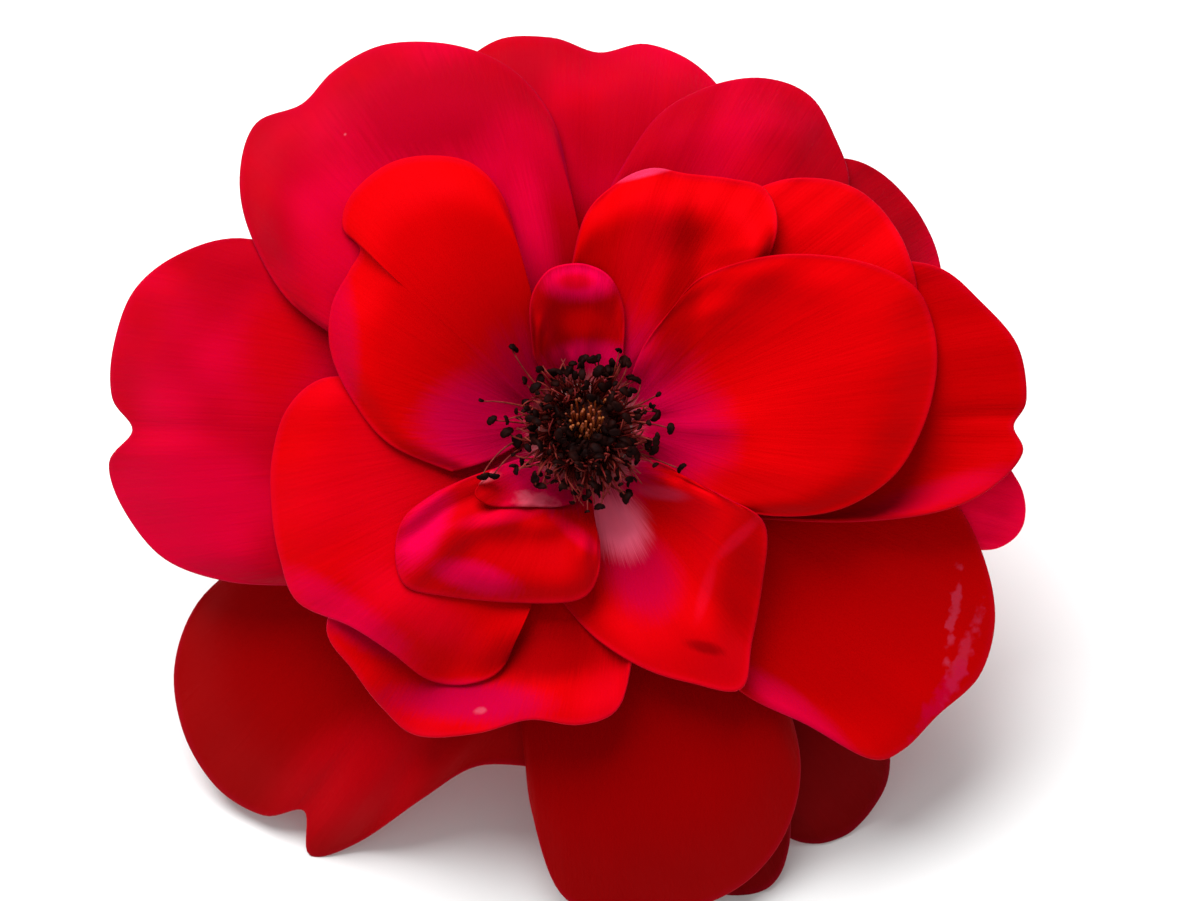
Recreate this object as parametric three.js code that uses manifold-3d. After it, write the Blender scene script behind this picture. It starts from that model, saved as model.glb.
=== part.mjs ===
// A fully open, semi-double bloom of a red floribunda rose, cut with a short stalk.
//
// The bloom is shaped in a frame of its own: its axis is +Z, x runs to the right and y to the
// upper side of the open flower, and z = 0 is the level where the petals are joined on. A group
// then leans the axis forward, so that the cut bloom lies on the tips of its drooping lower
// petals and on the cut end of its stalk. Millimetres and degrees throughout.

import * as THREE from "three";
import Module from "manifold-3d";
import { mergeVertices } from "three/addons/utils/BufferGeometryUtils.js";

const wasm = await Module();
wasm.setup();

// Driving dimensions
const LEAN = 28;
const PETAL_THICKNESS = 0.5;
const CLEARANCE = 0.3;
const NECK_RADIUS = 3.8;
const NECK_TOP = 4.2;
const NECK_BOTTOM = -6.3;
const CLAW_RADIUS = NECK_RADIUS + 0.38;
const CLAW_LEVEL = -2;
const CLAW_HALF_ANGLE = 20;
const SIDE_BOW = 0.13;
const HIP_RADIUS = 4.7;
const HIP_BOTTOM = -11;
const STALK_RADIUS = 1.8;
const STALK_END_RADIUS = 2.3;
const STALK_BOW = 2.2;
const SEPAL_COUNT = 5;
const FIRST_SEPAL = 54;
const SEPAL_LENGTH = 19;
const SEPAL_HALF_WIDTH = 3.6;
const SEPAL_LEVEL = -5.4;
const SEPAL_DROP = 9;
const SEPAL_EDGE_RISE = 0.9;
const SEPAL_COLUMNS = 4;
const SEPAL_ROWS = 7;
const STAMEN_COUNT = 38;
const STAMEN_RING_RADIUS = 2.8;
const STAMEN_RING_INNER = 2.2;
const STAMEN_RING_OUTER = 3.3;
const STAMEN_RING_DEPTH = 0.8;
const STAMEN_HEIGHT = 6.2;
const OUTER_STAMENS_SHORTER = 2.6;
const STRAY_STAMENS_SHORTER = 3;
const NEAREST_ANTHER = 3.7;
const ANTHER_SPREAD = 3.4;
const FILAMENT_RADIUS = 0.2;
const FILAMENT_CLEARANCE = 0.9;
const ANTHER_LENGTH = 1.4;
const ANTHER_WIDTH_SHARE = 0.66;
const ANTHER_DEPTH_SHARE = 0.6;
const STYLE_COUNT = 12;
const STYLE_HEIGHT = 5;
const STYLE_RADII = [0.24, 0.2];
const STYLE_TWIST = 12;
const STIGMA_RADIUS = 0.42;
const TUFT_RADIUS = 1.6;
const STRAND_SIDES = 3;
const GOLDEN_TURN = 137.5;

// How finely a petal is divided, and how the heights of stacked petals are compared
const PETAL_ROWS = 6;
const MAP_REACH = 50;
const MAP_CELL = 0.25;
const MAP_SIDE = Math.round((2 * MAP_REACH) / MAP_CELL);
const STEEPEST = 2.2;
const LIFT_ROUNDS = 80;
const LIFT_STEP = 0.5;
const SMOOTH_PASSES = 12;
const LIFT_FADE = 0.93;
const LACK_ALLOWED = 0.004;
const LEAST_WEIGHT = 0.05;

const COLOURS = {
  petal: new THREE.Color(0.72, 0.0, 0.03),
  petalShade: new THREE.Color(0.45, 0.0, 0.01),
  sepal: new THREE.Color(0.16, 0.3, 0.07),
  stalk: new THREE.Color(0.2, 0.33, 0.1),
  stamen: new THREE.Color(0.1, 0.02, 0.02),
  style: new THREE.Color(0.62, 0.3, 0.06),
};

// The petals, from the back of the flower to the front. Each rim is the free edge seen along the
// bloom's axis, anticlockwise, as [angle, distance from the axis]. rise is the height of the rim
// at its middle, tilt what it gains towards its last point, and cup what both ends gain. bend
// above 1 keeps the petal low before it rises, belly lifts its middle, curl turns its very edge,
// and each fold is a ray of the petal that stands up or dips: [place, height, width]. A dent is a
// small hump or hollow: [place across, place along, height, width across, width along].
const PETALS = [
  {
    name: "petal_outer_right_tip",
    rim: [[-20, 28], [-17, 36], [-15, 38.6], [-12, 39.6], [-8, 39], [-3, 36.5]],
    rise: -1, tilt: 0.5, cup: 0, bend: 1.3, belly: 2, curl: -0.8, folds: [],
  },
  {
    name: "petal_outer_right_upper",
    rim: [[12, 29], [19, 32.8], [26, 34.6], [34, 35], [42, 34.3], [48, 32], [53, 27]],
    rise: 2, tilt: 0, cup: 0.5, bend: 1, belly: 5, curl: -2, folds: [],
  },
  {
    name: "petal_back_right",
    rim: [[292, 35], [297, 41.5], [302, 43.5], [307, 43], [312, 41], [317, 36], [320, 29]],
    rise: -12.2, tilt: 0, cup: -1, bend: 1.7, belly: 2.5, curl: -1, folds: [],
  },
  {
    name: "petal_back_bottom_tip",
    rim: [[281, 37], [285, 42.6], [290, 44.4], [294, 43.4], [298, 39], [300, 33]],
    rise: -10.3, tilt: 0, cup: -0.5, bend: 1.7, belly: 2, curl: -0.5, folds: [],
  },
  {
    name: "petal_outer_top",
    rim: [
      [58, 25], [66, 31], [73, 33.6], [81, 34.5], [88, 33.3], [95, 34.8], [103, 35.3], [110, 33],
      [117, 27],
    ],
    rise: 1, tilt: 0, cup: -0.5, bend: 1, belly: 5.5, curl: -2.5, folds: [[0, -0.5, 0.09]],
  },
  {
    name: "petal_back_left",
    rim: [
      [200, 31], [204, 38], [210, 42.8], [217, 45.5], [224, 46.5], [230, 45.4], [233.5, 42.6],
      [237, 45.8], [241, 42.5], [246, 36], [252, 31.4], [262, 30.2],
    ],
    rise: -11.5, tilt: 0.5, cup: 0, bend: 1.7, belly: 3, curl: -1.5, folds: [[0.45, -1.5, 0.1]],
  },
  {
    name: "petal_back_bottom",
    rim: [
      [259, 28], [262, 34], [267, 41.5], [274, 43.7], [282, 44], [290, 42.8], [297, 39.8],
      [303, 35], [308, 28],
    ],
    rise: -7.5, tilt: 0, cup: -1, bend: 1.7, belly: 3.5, curl: -1, folds: [],
  },
  {
    name: "petal_outer_right_lower",
    rim: [
      [296, 20], [301, 26.9], [307, 32.4], [311, 38.5], [315, 40], [321, 40.2], [328, 41.2],
      [335, 40], [342, 37], [349, 33], [355, 27],
    ],
    rise: -5, tilt: 1.5, cup: 1.5, bend: 1.4, belly: 3, curl: 1, folds: [],
    dents: [[-0.6, 1, 1.5, 0.3, 0.14]],
  },
  {
    name: "petal_outer_left",
    rim: [
      [147, 27], [151, 34.6], [157, 39.2], [163, 41.8], [170, 42.4], [176, 42], [180, 40],
      [184, 42.3], [190, 41.4], [197, 38.8], [203, 34], [209, 28],
    ],
    rise: -1, tilt: -1, cup: 0.5, bend: 1, belly: 5.5, curl: -1.5, folds: [],
  },
  {
    name: "petal_outer_top_right",
    rim: [[36, 27], [43, 31.5], [49, 33.6], [56, 35.4], [63, 34.7], [70, 32], [77, 28], [83, 22]],
    rise: 3, tilt: 0, cup: 0, bend: 1, belly: 5, curl: -2.5, folds: [],
  },
  {
    name: "petal_outer_right",
    rim: [
      [-27, 17], [-19, 24.5], [-13, 31.5], [-8, 35.8], [-3, 38.2], [0.5, 37.4], [4, 38.6],
      [11, 38.4], [18, 36.2], [25, 33.6], [32, 28],
    ],
    rise: 3.5, tilt: 1.5, cup: 1, bend: 1, belly: 2, curl: 0.3, folds: [],
    dents: [[-0.55, 1, 2.2, 0.35, 0.12]],
  },
  {
    name: "petal_outer_top_left",
    rim: [
      [92, 16], [94, 22], [96, 27], [100, 31], [105, 34], [111, 36.4], [118, 38.3], [125, 38.6],
      [131, 38], [137, 39.7], [143, 38], [149, 34.4], [156, 28.5], [160, 22],
    ],
    rise: 2, tilt: -0.5, cup: 0.5, bend: 1, belly: 7, curl: -2.5, folds: [[0.45, -0.5, 0.08]],
  },
  {
    name: "petal_middle_bottom",
    rim: [
      [212, 25], [218, 28.6], [226, 29.2], [234, 30.2], [241, 30.6], [250, 28.2], [259, 25.7],
      [269, 25.7], [277, 24.3], [283, 19],
    ],
    rise: 1, tilt: 0, cup: 1, bend: 1, belly: 2.5, curl: 1.8,
    folds: [[-0.25, -1.6, 0.22], [0.3, 1.6, 0.22]],
  },
  {
    name: "petal_middle_left",
    rim: [
      [166, 18], [169, 23.2], [176, 26], [185, 27.4], [194, 28.2], [203, 28.9], [211, 29.2],
      [220, 26.6], [229, 25.7], [238, 25.8], [245.5, 24.4], [251, 21.6], [250.5, 15.4],
    ],
    rise: 4.5, tilt: -1.5, cup: -0.5, bend: 1, belly: 4, curl: -1.5, folds: [[0.35, 1.6, 0.2]],
    dents: [[0.05, 1, 1.2, 0.3, 0.14], [0.5, 0.95, -2.2, 0.25, 0.3]],
  },
  {
    name: "petal_middle_top_right",
    rim: [[12, 26], [20, 30.6], [29, 32], [37, 32.2], [44, 31], [51, 28], [57, 24]],
    rise: 6, tilt: 0, cup: 0.5, bend: 1, belly: 4, curl: -2.5, folds: [],
  },
  {
    name: "petal_inner_top",
    rim: [
      [40, 19], [46, 23.8], [53, 26], [60, 25.1], [68, 23.9], [76, 23.3], [83, 21.4],
      [90, 18.4], [96, 13],
    ],
    rise: 11, tilt: -1, cup: 0, bend: 1.2, belly: 3, curl: -3.5,
    folds: [[-0.75, 1, 0.15]],
    dents: [[-0.3, 0.65, -2.5, 0.35, 0.3]],
  },
  {
    name: "petal_inner_right",
    rim: [
      [-33, 10], [-26, 16.6], [-18, 22.6], [-9, 26.8], [0, 29.2], [9, 30.9], [17, 31.6],
      [24, 31], [32, 27.6], [42, 22.4], [52, 16.9], [54, 13],
    ],
    rise: 7.5, tilt: -1, cup: 1, bend: 1, belly: 5, curl: -2, folds: [],
    dents: [[0.72, 0.85, -1.6, 0.2, 0.3]],
  },
  {
    name: "petal_inner_left",
    rim: [
      [117, 8.7], [111.5, 14.5], [109.5, 21], [113, 25], [120, 27.4], [127, 28.7], [135, 28.7],
      [140, 27.4], [141, 25], [146, 24.6], [154, 24.4], [163, 23], [173, 20.2], [184, 17],
      [197, 12.2],
    ],
    rise: 7.5, tilt: -1, cup: 1, bend: 1, belly: 5, curl: -3, folds: [],
  },
  {
    name: "petal_middle_right",
    rim: [
      [262, 15], [273, 18.2], [284, 21.4], [293, 24], [301, 26.4], [308, 23.6], [319, 20.4],
      [332, 17.6], [334, 13.6], [334, 10],
    ],
    rise: 5, tilt: 2.5, cup: 1, bend: 1, belly: 1, curl: -1.2,
    folds: [[0.45, 1.2, 0.14], [0.1, -0.8, 0.14]],
    dents: [
      [-0.13, 0.72, 0.8, 0.16, 0.12], [0.25, 0.7, 1.2, 0.25, 0.13], [0.6, 0.85, 0.8, 0.15, 0.15],
    ],
  },
  {
    name: "petal_small_left",
    rim: [
      [203, 14], [206, 17.4], [213, 19.6], [221, 20.6], [230, 18.8], [244, 16.6], [261, 15.2],
      [270, 14.4], [275, 12.6], [277, 10], [275, 7.8],
    ],
    rise: 4, tilt: 0, cup: 0.5, bend: 0.8, belly: 4.5, curl: -1.5,
    folds: [[-0.65, -2, 0.1], [-0.4, 1.2, 0.1]],
    dents: [
      [-0.53, 0.65, 1.3, 0.14, 0.14], [-0.25, 0.4, 1.6, 0.18, 0.12], [0.08, 0.38, 1.6, 0.17, 0.12],
      [0.42, 0.62, 1.3, 0.16, 0.16],
    ],
  },
  {
    name: "petal_small_bottom",
    rim: [[204, 9], [210, 11], [219, 10.4], [232, 8.4], [248, 7.2], [262, 6.4]],
    rise: 6.5, tilt: -0.5, cup: 0, bend: 1, belly: 0.5, curl: -0.5, folds: [],
  },
  {
    name: "petal_small_top",
    rim: [
      [64, 7.4], [72, 10.8], [80, 13.2], [88, 14.2], [96, 14.4], [104, 14], [113, 12], [124, 8],
    ],
    rise: 6, tilt: 0, cup: 0.5, bend: 1, belly: 0, curl: 0, folds: [],
    dents: [[0, 0.35, -1.5, 0.9, 0.25], [0, 0.85, 1.2, 0.9, 0.22]],
  },
];

// The few long stamens that lie out on the petals: [angle, distance from the axis]
const STRAY_STAMENS = [
  [10, 7.4], [57, 7.4], [137, 9.4], [154, 9.4], [168, 8.1], [190, 9.7], [197, 8.8], [331, 9.2],
];

const radians = THREE.MathUtils.degToRad;
const polar = (angle, distance) =>
  new THREE.Vector2(Math.cos(radians(angle)) * distance, Math.sin(radians(angle)) * distance);

// The heights already taken by the pieces placed so far, over a square of the bloom's plane
const tops = new Float32Array(MAP_SIDE * MAP_SIDE).fill(-Infinity);

// Calls visit(cell, weights) for each cell of the height map under a triangle seen from above
function coverCells(corners, visit) {
  const [a, b, c] = corners;
  const area = (b.x - a.x) * (c.y - a.y) - (c.x - a.x) * (b.y - a.y);
  if (Math.abs(area) < 1e-9) return;
  const cellOf = (value) => (value + MAP_REACH) / MAP_CELL - 0.5;
  const firstColumn = Math.ceil(cellOf(Math.min(a.x, b.x, c.x)));
  const lastColumn = Math.floor(cellOf(Math.max(a.x, b.x, c.x)));
  const firstRow = Math.ceil(cellOf(Math.min(a.y, b.y, c.y)));
  const lastRow = Math.floor(cellOf(Math.max(a.y, b.y, c.y)));
  for (let row = firstRow; row <= lastRow; row++) {
    const y = (row + 0.5) * MAP_CELL - MAP_REACH;
    for (let column = firstColumn; column <= lastColumn; column++) {
      const x = (column + 0.5) * MAP_CELL - MAP_REACH;
      const second = ((x - a.x) * (c.y - a.y) - (c.x - a.x) * (y - a.y)) / area;
      const third = ((b.x - a.x) * (y - a.y) - (x - a.x) * (b.y - a.y)) / area;
      const first = 1 - second - third;
      if (first < 0 || second < 0 || third < 0) continue;
      visit(row * MAP_SIDE + column, [first, second, third]);
    }
  }
}

// A sheet is a lattice of points, columns[i][j], that is a single height over each place of the
// bloom's plane. Its two triangles in each square are the same on both faces.
function sheetTriangles(columns) {
  const triangles = [];
  for (let i = 0; i + 1 < columns.length; i++) {
    for (let j = 0; j + 1 < columns[i].length; j++) {
      triangles.push([columns[i][j], columns[i][j + 1], columns[i + 1][j + 1]]);
      triangles.push([columns[i][j], columns[i + 1][j + 1], columns[i + 1][j]]);
    }
  }
  return triangles;
}

// How much longer a step across a sheet is than the same step seen from above, at each point
function measureSteepness(columns) {
  const side = new THREE.Vector3();
  const along = new THREE.Vector3();
  columns.forEach((column, i) =>
    column.forEach((point, j) => {
      side.subVectors(columns[Math.min(i + 1, columns.length - 1)][j], columns[Math.max(i - 1, 0)][j]);
      along.subVectors(column[Math.min(j + 1, column.length - 1)], column[Math.max(j - 1, 0)]);
      const normal = side.cross(along).normalize();
      point.steepness = Math.min(STEEPEST, 1 / Math.max(Math.abs(normal.z), 1 / STEEPEST));
    }),
  );
}

// The mean of a lattice value over the eight neighbours of a point and the point itself
function blurred(values, i, j) {
  let total = 0;
  let weight = 0;
  for (let di = -1; di <= 1; di++) {
    for (let dj = -1; dj <= 1; dj++) {
      const value = values[i + di]?.[j + dj];
      if (value === undefined) continue;
      const share = (2 - Math.abs(di)) * (2 - Math.abs(dj));
      total += share * value;
      weight += share;
    }
  }
  return total / weight;
}

// How far each point of a sheet lacks the clearance to what lies under it
function measureLack(columns, triangles, thickness) {
  columns.flat().forEach((point) => (point.lack = 0));
  for (const corners of triangles) {
    coverCells(corners, (cell, weights) => {
      let bottom = 0;
      let gap = 0;
      corners.forEach((point, k) => {
        bottom += weights[k] * (point.z - (thickness / 2) * point.steepness);
        gap += weights[k] * CLEARANCE * point.steepness;
      });
      const lack = tops[cell] + gap - bottom;
      corners.forEach((point, k) => {
        if (weights[k] > LEAST_WEIGHT) point.lack = Math.max(point.lack, lack);
      });
    });
  }
  return Math.max(...columns.flat().map((point) => point.lack));
}

// Lifts a sheet off what lies under it, by a swelling that dies away smoothly around the places
// that need it, and then adds the sheet to the heights taken
function liftClear(columns, thickness) {
  const triangles = sheetTriangles(columns);
  const resting = columns.map((column) => column.map((point) => point.z));
  const need = columns.map((column) => column.map(() => 0));
  let lift = columns.map((column) => column.map(() => 0));
  for (let round = 0; round < LIFT_ROUNDS; round++) {
    measureSteepness(columns);
    if (measureLack(columns, triangles, thickness) < LACK_ALLOWED) break;
    columns.forEach((column, i) =>
      column.forEach((point, j) => {
        if (point.lack <= 0) return;
        const wanted = lift[i][j] + LIFT_STEP * point.lack + LACK_ALLOWED;
        need[i][j] = Math.max(need[i][j], wanted);
      }),
    );
    lift = need.map((column) => [...column]);
    for (let pass = 0; pass < SMOOTH_PASSES; pass++) {
      lift = lift.map((column, i) =>
        column.map((value, j) => Math.max(need[i][j], LIFT_FADE * blurred(lift, i, j))),
      );
    }
    columns.forEach((column, i) =>
      column.forEach((point, j) => {
        point.z = resting[i][j] + lift[i][j];
      }),
    );
  }
  for (const corners of triangles) {
    coverCells(corners, (cell, weights) => {
      let top = 0;
      corners.forEach((point, k) => {
        top += weights[k] * (point.z + (thickness / 2) * point.steepness);
      });
      tops[cell] = Math.max(tops[cell], top);
    });
  }
}

// Closes a lattice into one solid blade: an upper face, a lower face and the edge between them
function bladeGeometry(columns, thickness) {
  const width = columns.length;
  const rows = columns[0].length;
  const positions = [];
  for (const side of [1, -1]) {
    for (const point of columns.flat()) {
      positions.push(point.x, point.y, point.z + (side * thickness * point.steepness) / 2);
    }
  }
  const upper = (i, j) => i * rows + j;
  const lower = (i, j) => width * rows + i * rows + j;
  const index = [];
  for (let i = 0; i + 1 < width; i++) {
    for (let j = 0; j + 1 < rows; j++) {
      index.push(upper(i, j), upper(i, j + 1), upper(i + 1, j + 1));
      index.push(upper(i, j), upper(i + 1, j + 1), upper(i + 1, j));
      index.push(lower(i, j), lower(i + 1, j + 1), lower(i, j + 1));
      index.push(lower(i, j), lower(i + 1, j), lower(i + 1, j + 1));
    }
  }
  const loop = [];
  for (let i = 0; i < width - 1; i++) loop.push([i, 0]);
  for (let j = 0; j < rows - 1; j++) loop.push([width - 1, j]);
  for (let i = width - 1; i > 0; i--) loop.push([i, rows - 1]);
  for (let j = rows - 1; j > 0; j--) loop.push([0, j]);
  loop.forEach(([i, j], k) => {
    const [nextI, nextJ] = loop[(k + 1) % loop.length];
    index.push(upper(i, j), upper(nextI, nextJ), lower(nextI, nextJ));
    index.push(upper(i, j), lower(nextI, nextJ), lower(i, j));
  });
  const geometry = new THREE.BufferGeometry();
  geometry.setAttribute("position", new THREE.Float32BufferAttribute(positions, 3));
  geometry.setIndex(index);
  return facingOut(geometry);
}

// Turns a closed mesh the right way round where its volume comes out negative
function facingOut(geometry) {
  const at = geometry.getAttribute("position");
  const index = geometry.getIndex();
  const corner = [new THREE.Vector3(), new THREE.Vector3(), new THREE.Vector3()];
  let volume = 0;
  for (let k = 0; k < index.count; k += 3) {
    corner.forEach((point, n) => point.fromBufferAttribute(at, index.getX(k + n)));
    volume += corner[0].dot(corner[1].cross(corner[2]));
  }
  if (volume < 0) {
    for (let k = 0; k < index.count; k += 3) {
      const second = index.getX(k + 1);
      index.setX(k + 1, index.getX(k + 2));
      index.setX(k + 2, second);
    }
  }
  geometry.computeVertexNormals();
  return geometry;
}

// The height of a petal at place s across it, -1 to 1, and t along it, 0 at its claw to 1. share
// is how far out that is, of the petal's longest ray, so that its sides stay as low as its claw.
function petalHeight(petal, s, t, share) {
  const rim = petal.rise + petal.tilt * s + petal.cup * s * s;
  const edge = THREE.MathUtils.smoothstep(t, 0.7, 1);
  let height = CLAW_LEVEL + (rim - CLAW_LEVEL) * share ** petal.bend;
  height += petal.belly * 4 * share * (1 - share) + petal.curl * edge * edge * share;
  for (const [place, depth, width] of petal.folds) {
    height += depth * Math.exp(-(((s - place) / width) ** 2)) * t * t;
  }
  for (const [across, along, depth, width, reach] of petal.dents ?? []) {
    height += depth * Math.exp(-(((s - across) / width) ** 2) - ((t - along) / reach) ** 2);
  }
  return height;
}

// The lattice of a petal: rays from its narrow claw on the neck out to its rim
function petalColumns(petal) {
  const angles = petal.rim.map(([angle]) => angle);
  const middle = (angles[0] + angles[angles.length - 1]) / 2;
  const outline = new THREE.SplineCurve(petal.rim.map(([angle, distance]) => polar(angle, distance)));
  const steps = 2 * (petal.rim.length - 1);
  const longest = Math.max(...petal.rim.map(([, distance]) => distance)) - CLAW_RADIUS;
  const clawAt = (s) => polar(middle + s * CLAW_HALF_ANGLE, CLAW_RADIUS);
  const sides = [0, 1].map((end) => outline.getPoint(end).distanceTo(clawAt(2 * end - 1)));
  const columns = [];
  for (let i = 0; i <= steps; i++) {
    const s = (2 * i) / steps - 1;
    const claw = clawAt(s);
    const edge = outline.getPoint(i / steps);
    const column = [];
    for (let j = 0; j <= PETAL_ROWS; j++) {
      const t = j / PETAL_ROWS;
      const ray = edge.clone().sub(claw);
      const bow = SIDE_BOW * s * Math.sin(Math.PI * t) * Math.min(...sides);
      const place = new THREE.Vector2(-ray.y, ray.x).setLength(1).multiplyScalar(bow);
      place.add(claw).addScaledVector(ray, t);
      const share = (t * ray.length()) / longest;
      column.push(new THREE.Vector3(place.x, place.y, petalHeight(petal, s, t, share)));
    }
    columns.push(column);
  }
  return columns;
}

// A named mesh with a material of its own
function part(name, geometry, colour, roughness) {
  const material = new THREE.MeshStandardMaterial({ color: colour, roughness, metalness: 0 });
  const mesh = new THREE.Mesh(geometry, material);
  mesh.name = name;
  return mesh;
}

// The lattice of a sepal: a lance-shaped blade that bends back below the petals
function sepalColumns(turn) {
  const columns = [];
  for (let i = 0; i <= SEPAL_COLUMNS; i++) {
    const s = (2 * i) / SEPAL_COLUMNS - 1;
    const column = [];
    for (let j = 0; j <= SEPAL_ROWS; j++) {
      const t = j / SEPAL_ROWS;
      const swell = Math.sin(Math.PI * (0.2 + 0.77 * t ** 0.8)) * (1 - 0.3 * t);
      const away = CLAW_RADIUS + t * SEPAL_LENGTH;
      const place = new THREE.Vector2(away, s * SEPAL_HALF_WIDTH * swell * (0.55 + 0.45 * t ** 0.3));
      place.rotateAround(new THREE.Vector2(), radians(turn));
      const height = SEPAL_LEVEL - SEPAL_DROP * t ** 1.3 + SEPAL_EDGE_RISE * s * s * (1 - t);
      column.push(new THREE.Vector3(place.x, place.y, height));
    }
    columns.push(column);
  }
  return columns;
}

// A thin stem through the given points, with one radius for each of them
function strandGeometry(points, radii, sides) {
  const positions = [];
  points.forEach((point, k) => {
    const ahead = points[Math.min(k + 1, points.length - 1)];
    const behind = points[Math.max(k - 1, 0)];
    const along = new THREE.Vector3().subVectors(ahead, behind).normalize();
    const across = new THREE.Vector3(-along.y, along.x, 0.01).cross(along).normalize();
    const up = new THREE.Vector3().crossVectors(along, across);
    for (let n = 0; n < sides; n++) {
      const turn = (2 * Math.PI * n) / sides;
      const spoke = across.clone().multiplyScalar(Math.cos(turn) * radii[k]);
      spoke.addScaledVector(up, Math.sin(turn) * radii[k]).add(point);
      positions.push(spoke.x, spoke.y, spoke.z);
    }
  });
  const index = [];
  const last = (points.length - 1) * sides;
  for (let n = 0; n < sides; n++) {
    const next = (n + 1) % sides;
    for (let k = 0; k < last; k += sides) {
      index.push(k + n, k + next, k + sides + next);
      index.push(k + n, k + sides + next, k + sides + n);
    }
    if (n > 0 && n < sides - 1) {
      index.push(0, n + 1, n);
      index.push(last, last + n, last + n + 1);
    }
  }
  const geometry = new THREE.BufferGeometry();
  geometry.setAttribute("position", new THREE.Float32BufferAttribute(positions, 3));
  geometry.setIndex(index);
  return facingOut(geometry);
}

// A solid for joining, from a closed mesh
function solidOf(geometry) {
  const bare = geometry.clone();
  bare.deleteAttribute("normal");
  bare.deleteAttribute("uv");
  const merged = mergeVertices(bare, 1e-4);
  const vertProperties = new Float32Array(merged.getAttribute("position").array);
  const triVerts = new Uint32Array(merged.getIndex().array);
  return new wasm.Manifold(new wasm.Mesh({ numProp: 3, vertProperties, triVerts }));
}

// One mesh from several closed meshes that overlap
function joined(geometries) {
  const mesh = geometries.map(solidOf).reduce((all, solid) => all.add(solid)).getMesh();
  const positions = new Float32Array(mesh.vertProperties);
  const geometry = new THREE.BufferGeometry();
  geometry.setAttribute("position", new THREE.BufferAttribute(positions, 3));
  geometry.setIndex(new THREE.BufferAttribute(new Uint32Array(mesh.triVerts), 1));
  geometry.computeVertexNormals();
  return geometry;
}

// A profile of [radius, height] turned about the bloom's axis
function turned(profile, segments) {
  const points = profile.map(([radius, height]) => new THREE.Vector2(radius, height));
  return facingOut(new THREE.LatheGeometry(points, segments).rotateX(Math.PI / 2));
}

// The greatest height taken within a small distance of a place
function heightTaken(x, y, around) {
  let top = -Infinity;
  for (let dx = -around; dx <= around; dx += MAP_CELL) {
    for (let dy = -around; dy <= around; dy += MAP_CELL) {
      const column = Math.floor((x + dx + MAP_REACH) / MAP_CELL);
      const row = Math.floor((y + dy + MAP_REACH) / MAP_CELL);
      top = Math.max(top, tops[row * MAP_SIDE + column]);
    }
  }
  return top;
}

// A stamen: a filament that rises from the ring and leans out over the petals to its anther
function stamenGeometries(angle, distance, height) {
  const base = NECK_TOP + CLEARANCE + 0.4;
  const points = [0, 0.3, 0.65, 1].map((t) => {
    const place = polar(angle, STAMEN_RING_RADIUS + (distance - STAMEN_RING_RADIUS) * t);
    const nominal = base + height * Math.sin((Math.PI / 2) * t);
    if (t === 0) return new THREE.Vector3(place.x, place.y, nominal);
    const clear = heightTaken(place.x, place.y, ANTHER_LENGTH / 2) + FILAMENT_CLEARANCE + 0.4 * t;
    return new THREE.Vector3(place.x, place.y, Math.max(nominal, clear));
  });
  const radii = [1.3, 1.1, 1, 0.9].map((share) => share * FILAMENT_RADIUS);
  const anther = new THREE.OctahedronGeometry(ANTHER_LENGTH / 2);
  anther.scale(1, ANTHER_WIDTH_SHARE, ANTHER_DEPTH_SHARE).rotateZ(radians(angle * 5));
  anther.translate(points[3].x, points[3].y, points[3].z + 0.1);
  return [strandGeometry(points, radii, STRAND_SIDES), anther];
}

function buildStamens() {
  const bottom = NECK_TOP + CLEARANCE;
  const top = bottom + STAMEN_RING_DEPTH;
  const [inner, outer] = [STAMEN_RING_INNER, STAMEN_RING_OUTER];
  const profile = [[inner, bottom], [outer, bottom], [outer, top], [inner, top], [inner, bottom]];
  const pieces = [turned(profile, 20)];
  for (let k = 0; k < STAMEN_COUNT; k++) {
    const share = ((k * 7) % STAMEN_COUNT) / STAMEN_COUNT;
    const distance = NEAREST_ANTHER + ANTHER_SPREAD * Math.sqrt(share);
    const height = STAMEN_HEIGHT - OUTER_STAMENS_SHORTER * share;
    pieces.push(...stamenGeometries(k * GOLDEN_TURN, distance, height));
  }
  for (const [angle, distance] of STRAY_STAMENS) {
    pieces.push(...stamenGeometries(angle, distance, STAMEN_HEIGHT - STRAY_STAMENS_SHORTER));
  }
  return part("stamens", joined(pieces), COLOURS.stamen, 0.7);
}

// The tuft of styles in the middle of the stamens, with a small knob on each
function buildStyles() {
  const base = NECK_TOP + CLEARANCE;
  const mound = [[0, base], [1.7, base], [1.5, base + 0.6], [0.8, base + 1], [0, base + 1.1]];
  const pieces = [turned(mound, 16)];
  for (let k = 0; k < STYLE_COUNT; k++) {
    const share = Math.sqrt((k + 0.5) / STYLE_COUNT);
    const height = base + STYLE_HEIGHT * (1 - 0.25 * share * share);
    const foot = polar(k * GOLDEN_TURN, 0.6 * TUFT_RADIUS * share);
    const tip = polar(k * GOLDEN_TURN + STYLE_TWIST, TUFT_RADIUS * share);
    const points = [
      new THREE.Vector3(foot.x, foot.y, base + 0.3),
      new THREE.Vector3(tip.x, tip.y, height),
    ];
    const knob = new THREE.OctahedronGeometry(STIGMA_RADIUS);
    knob.scale(1, 1, 0.7).translate(tip.x, tip.y, height);
    pieces.push(strandGeometry(points, STYLE_RADII, STRAND_SIDES), knob);
  }
  return part("styles", joined(pieces), COLOURS.style, 0.6);
}

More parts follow.
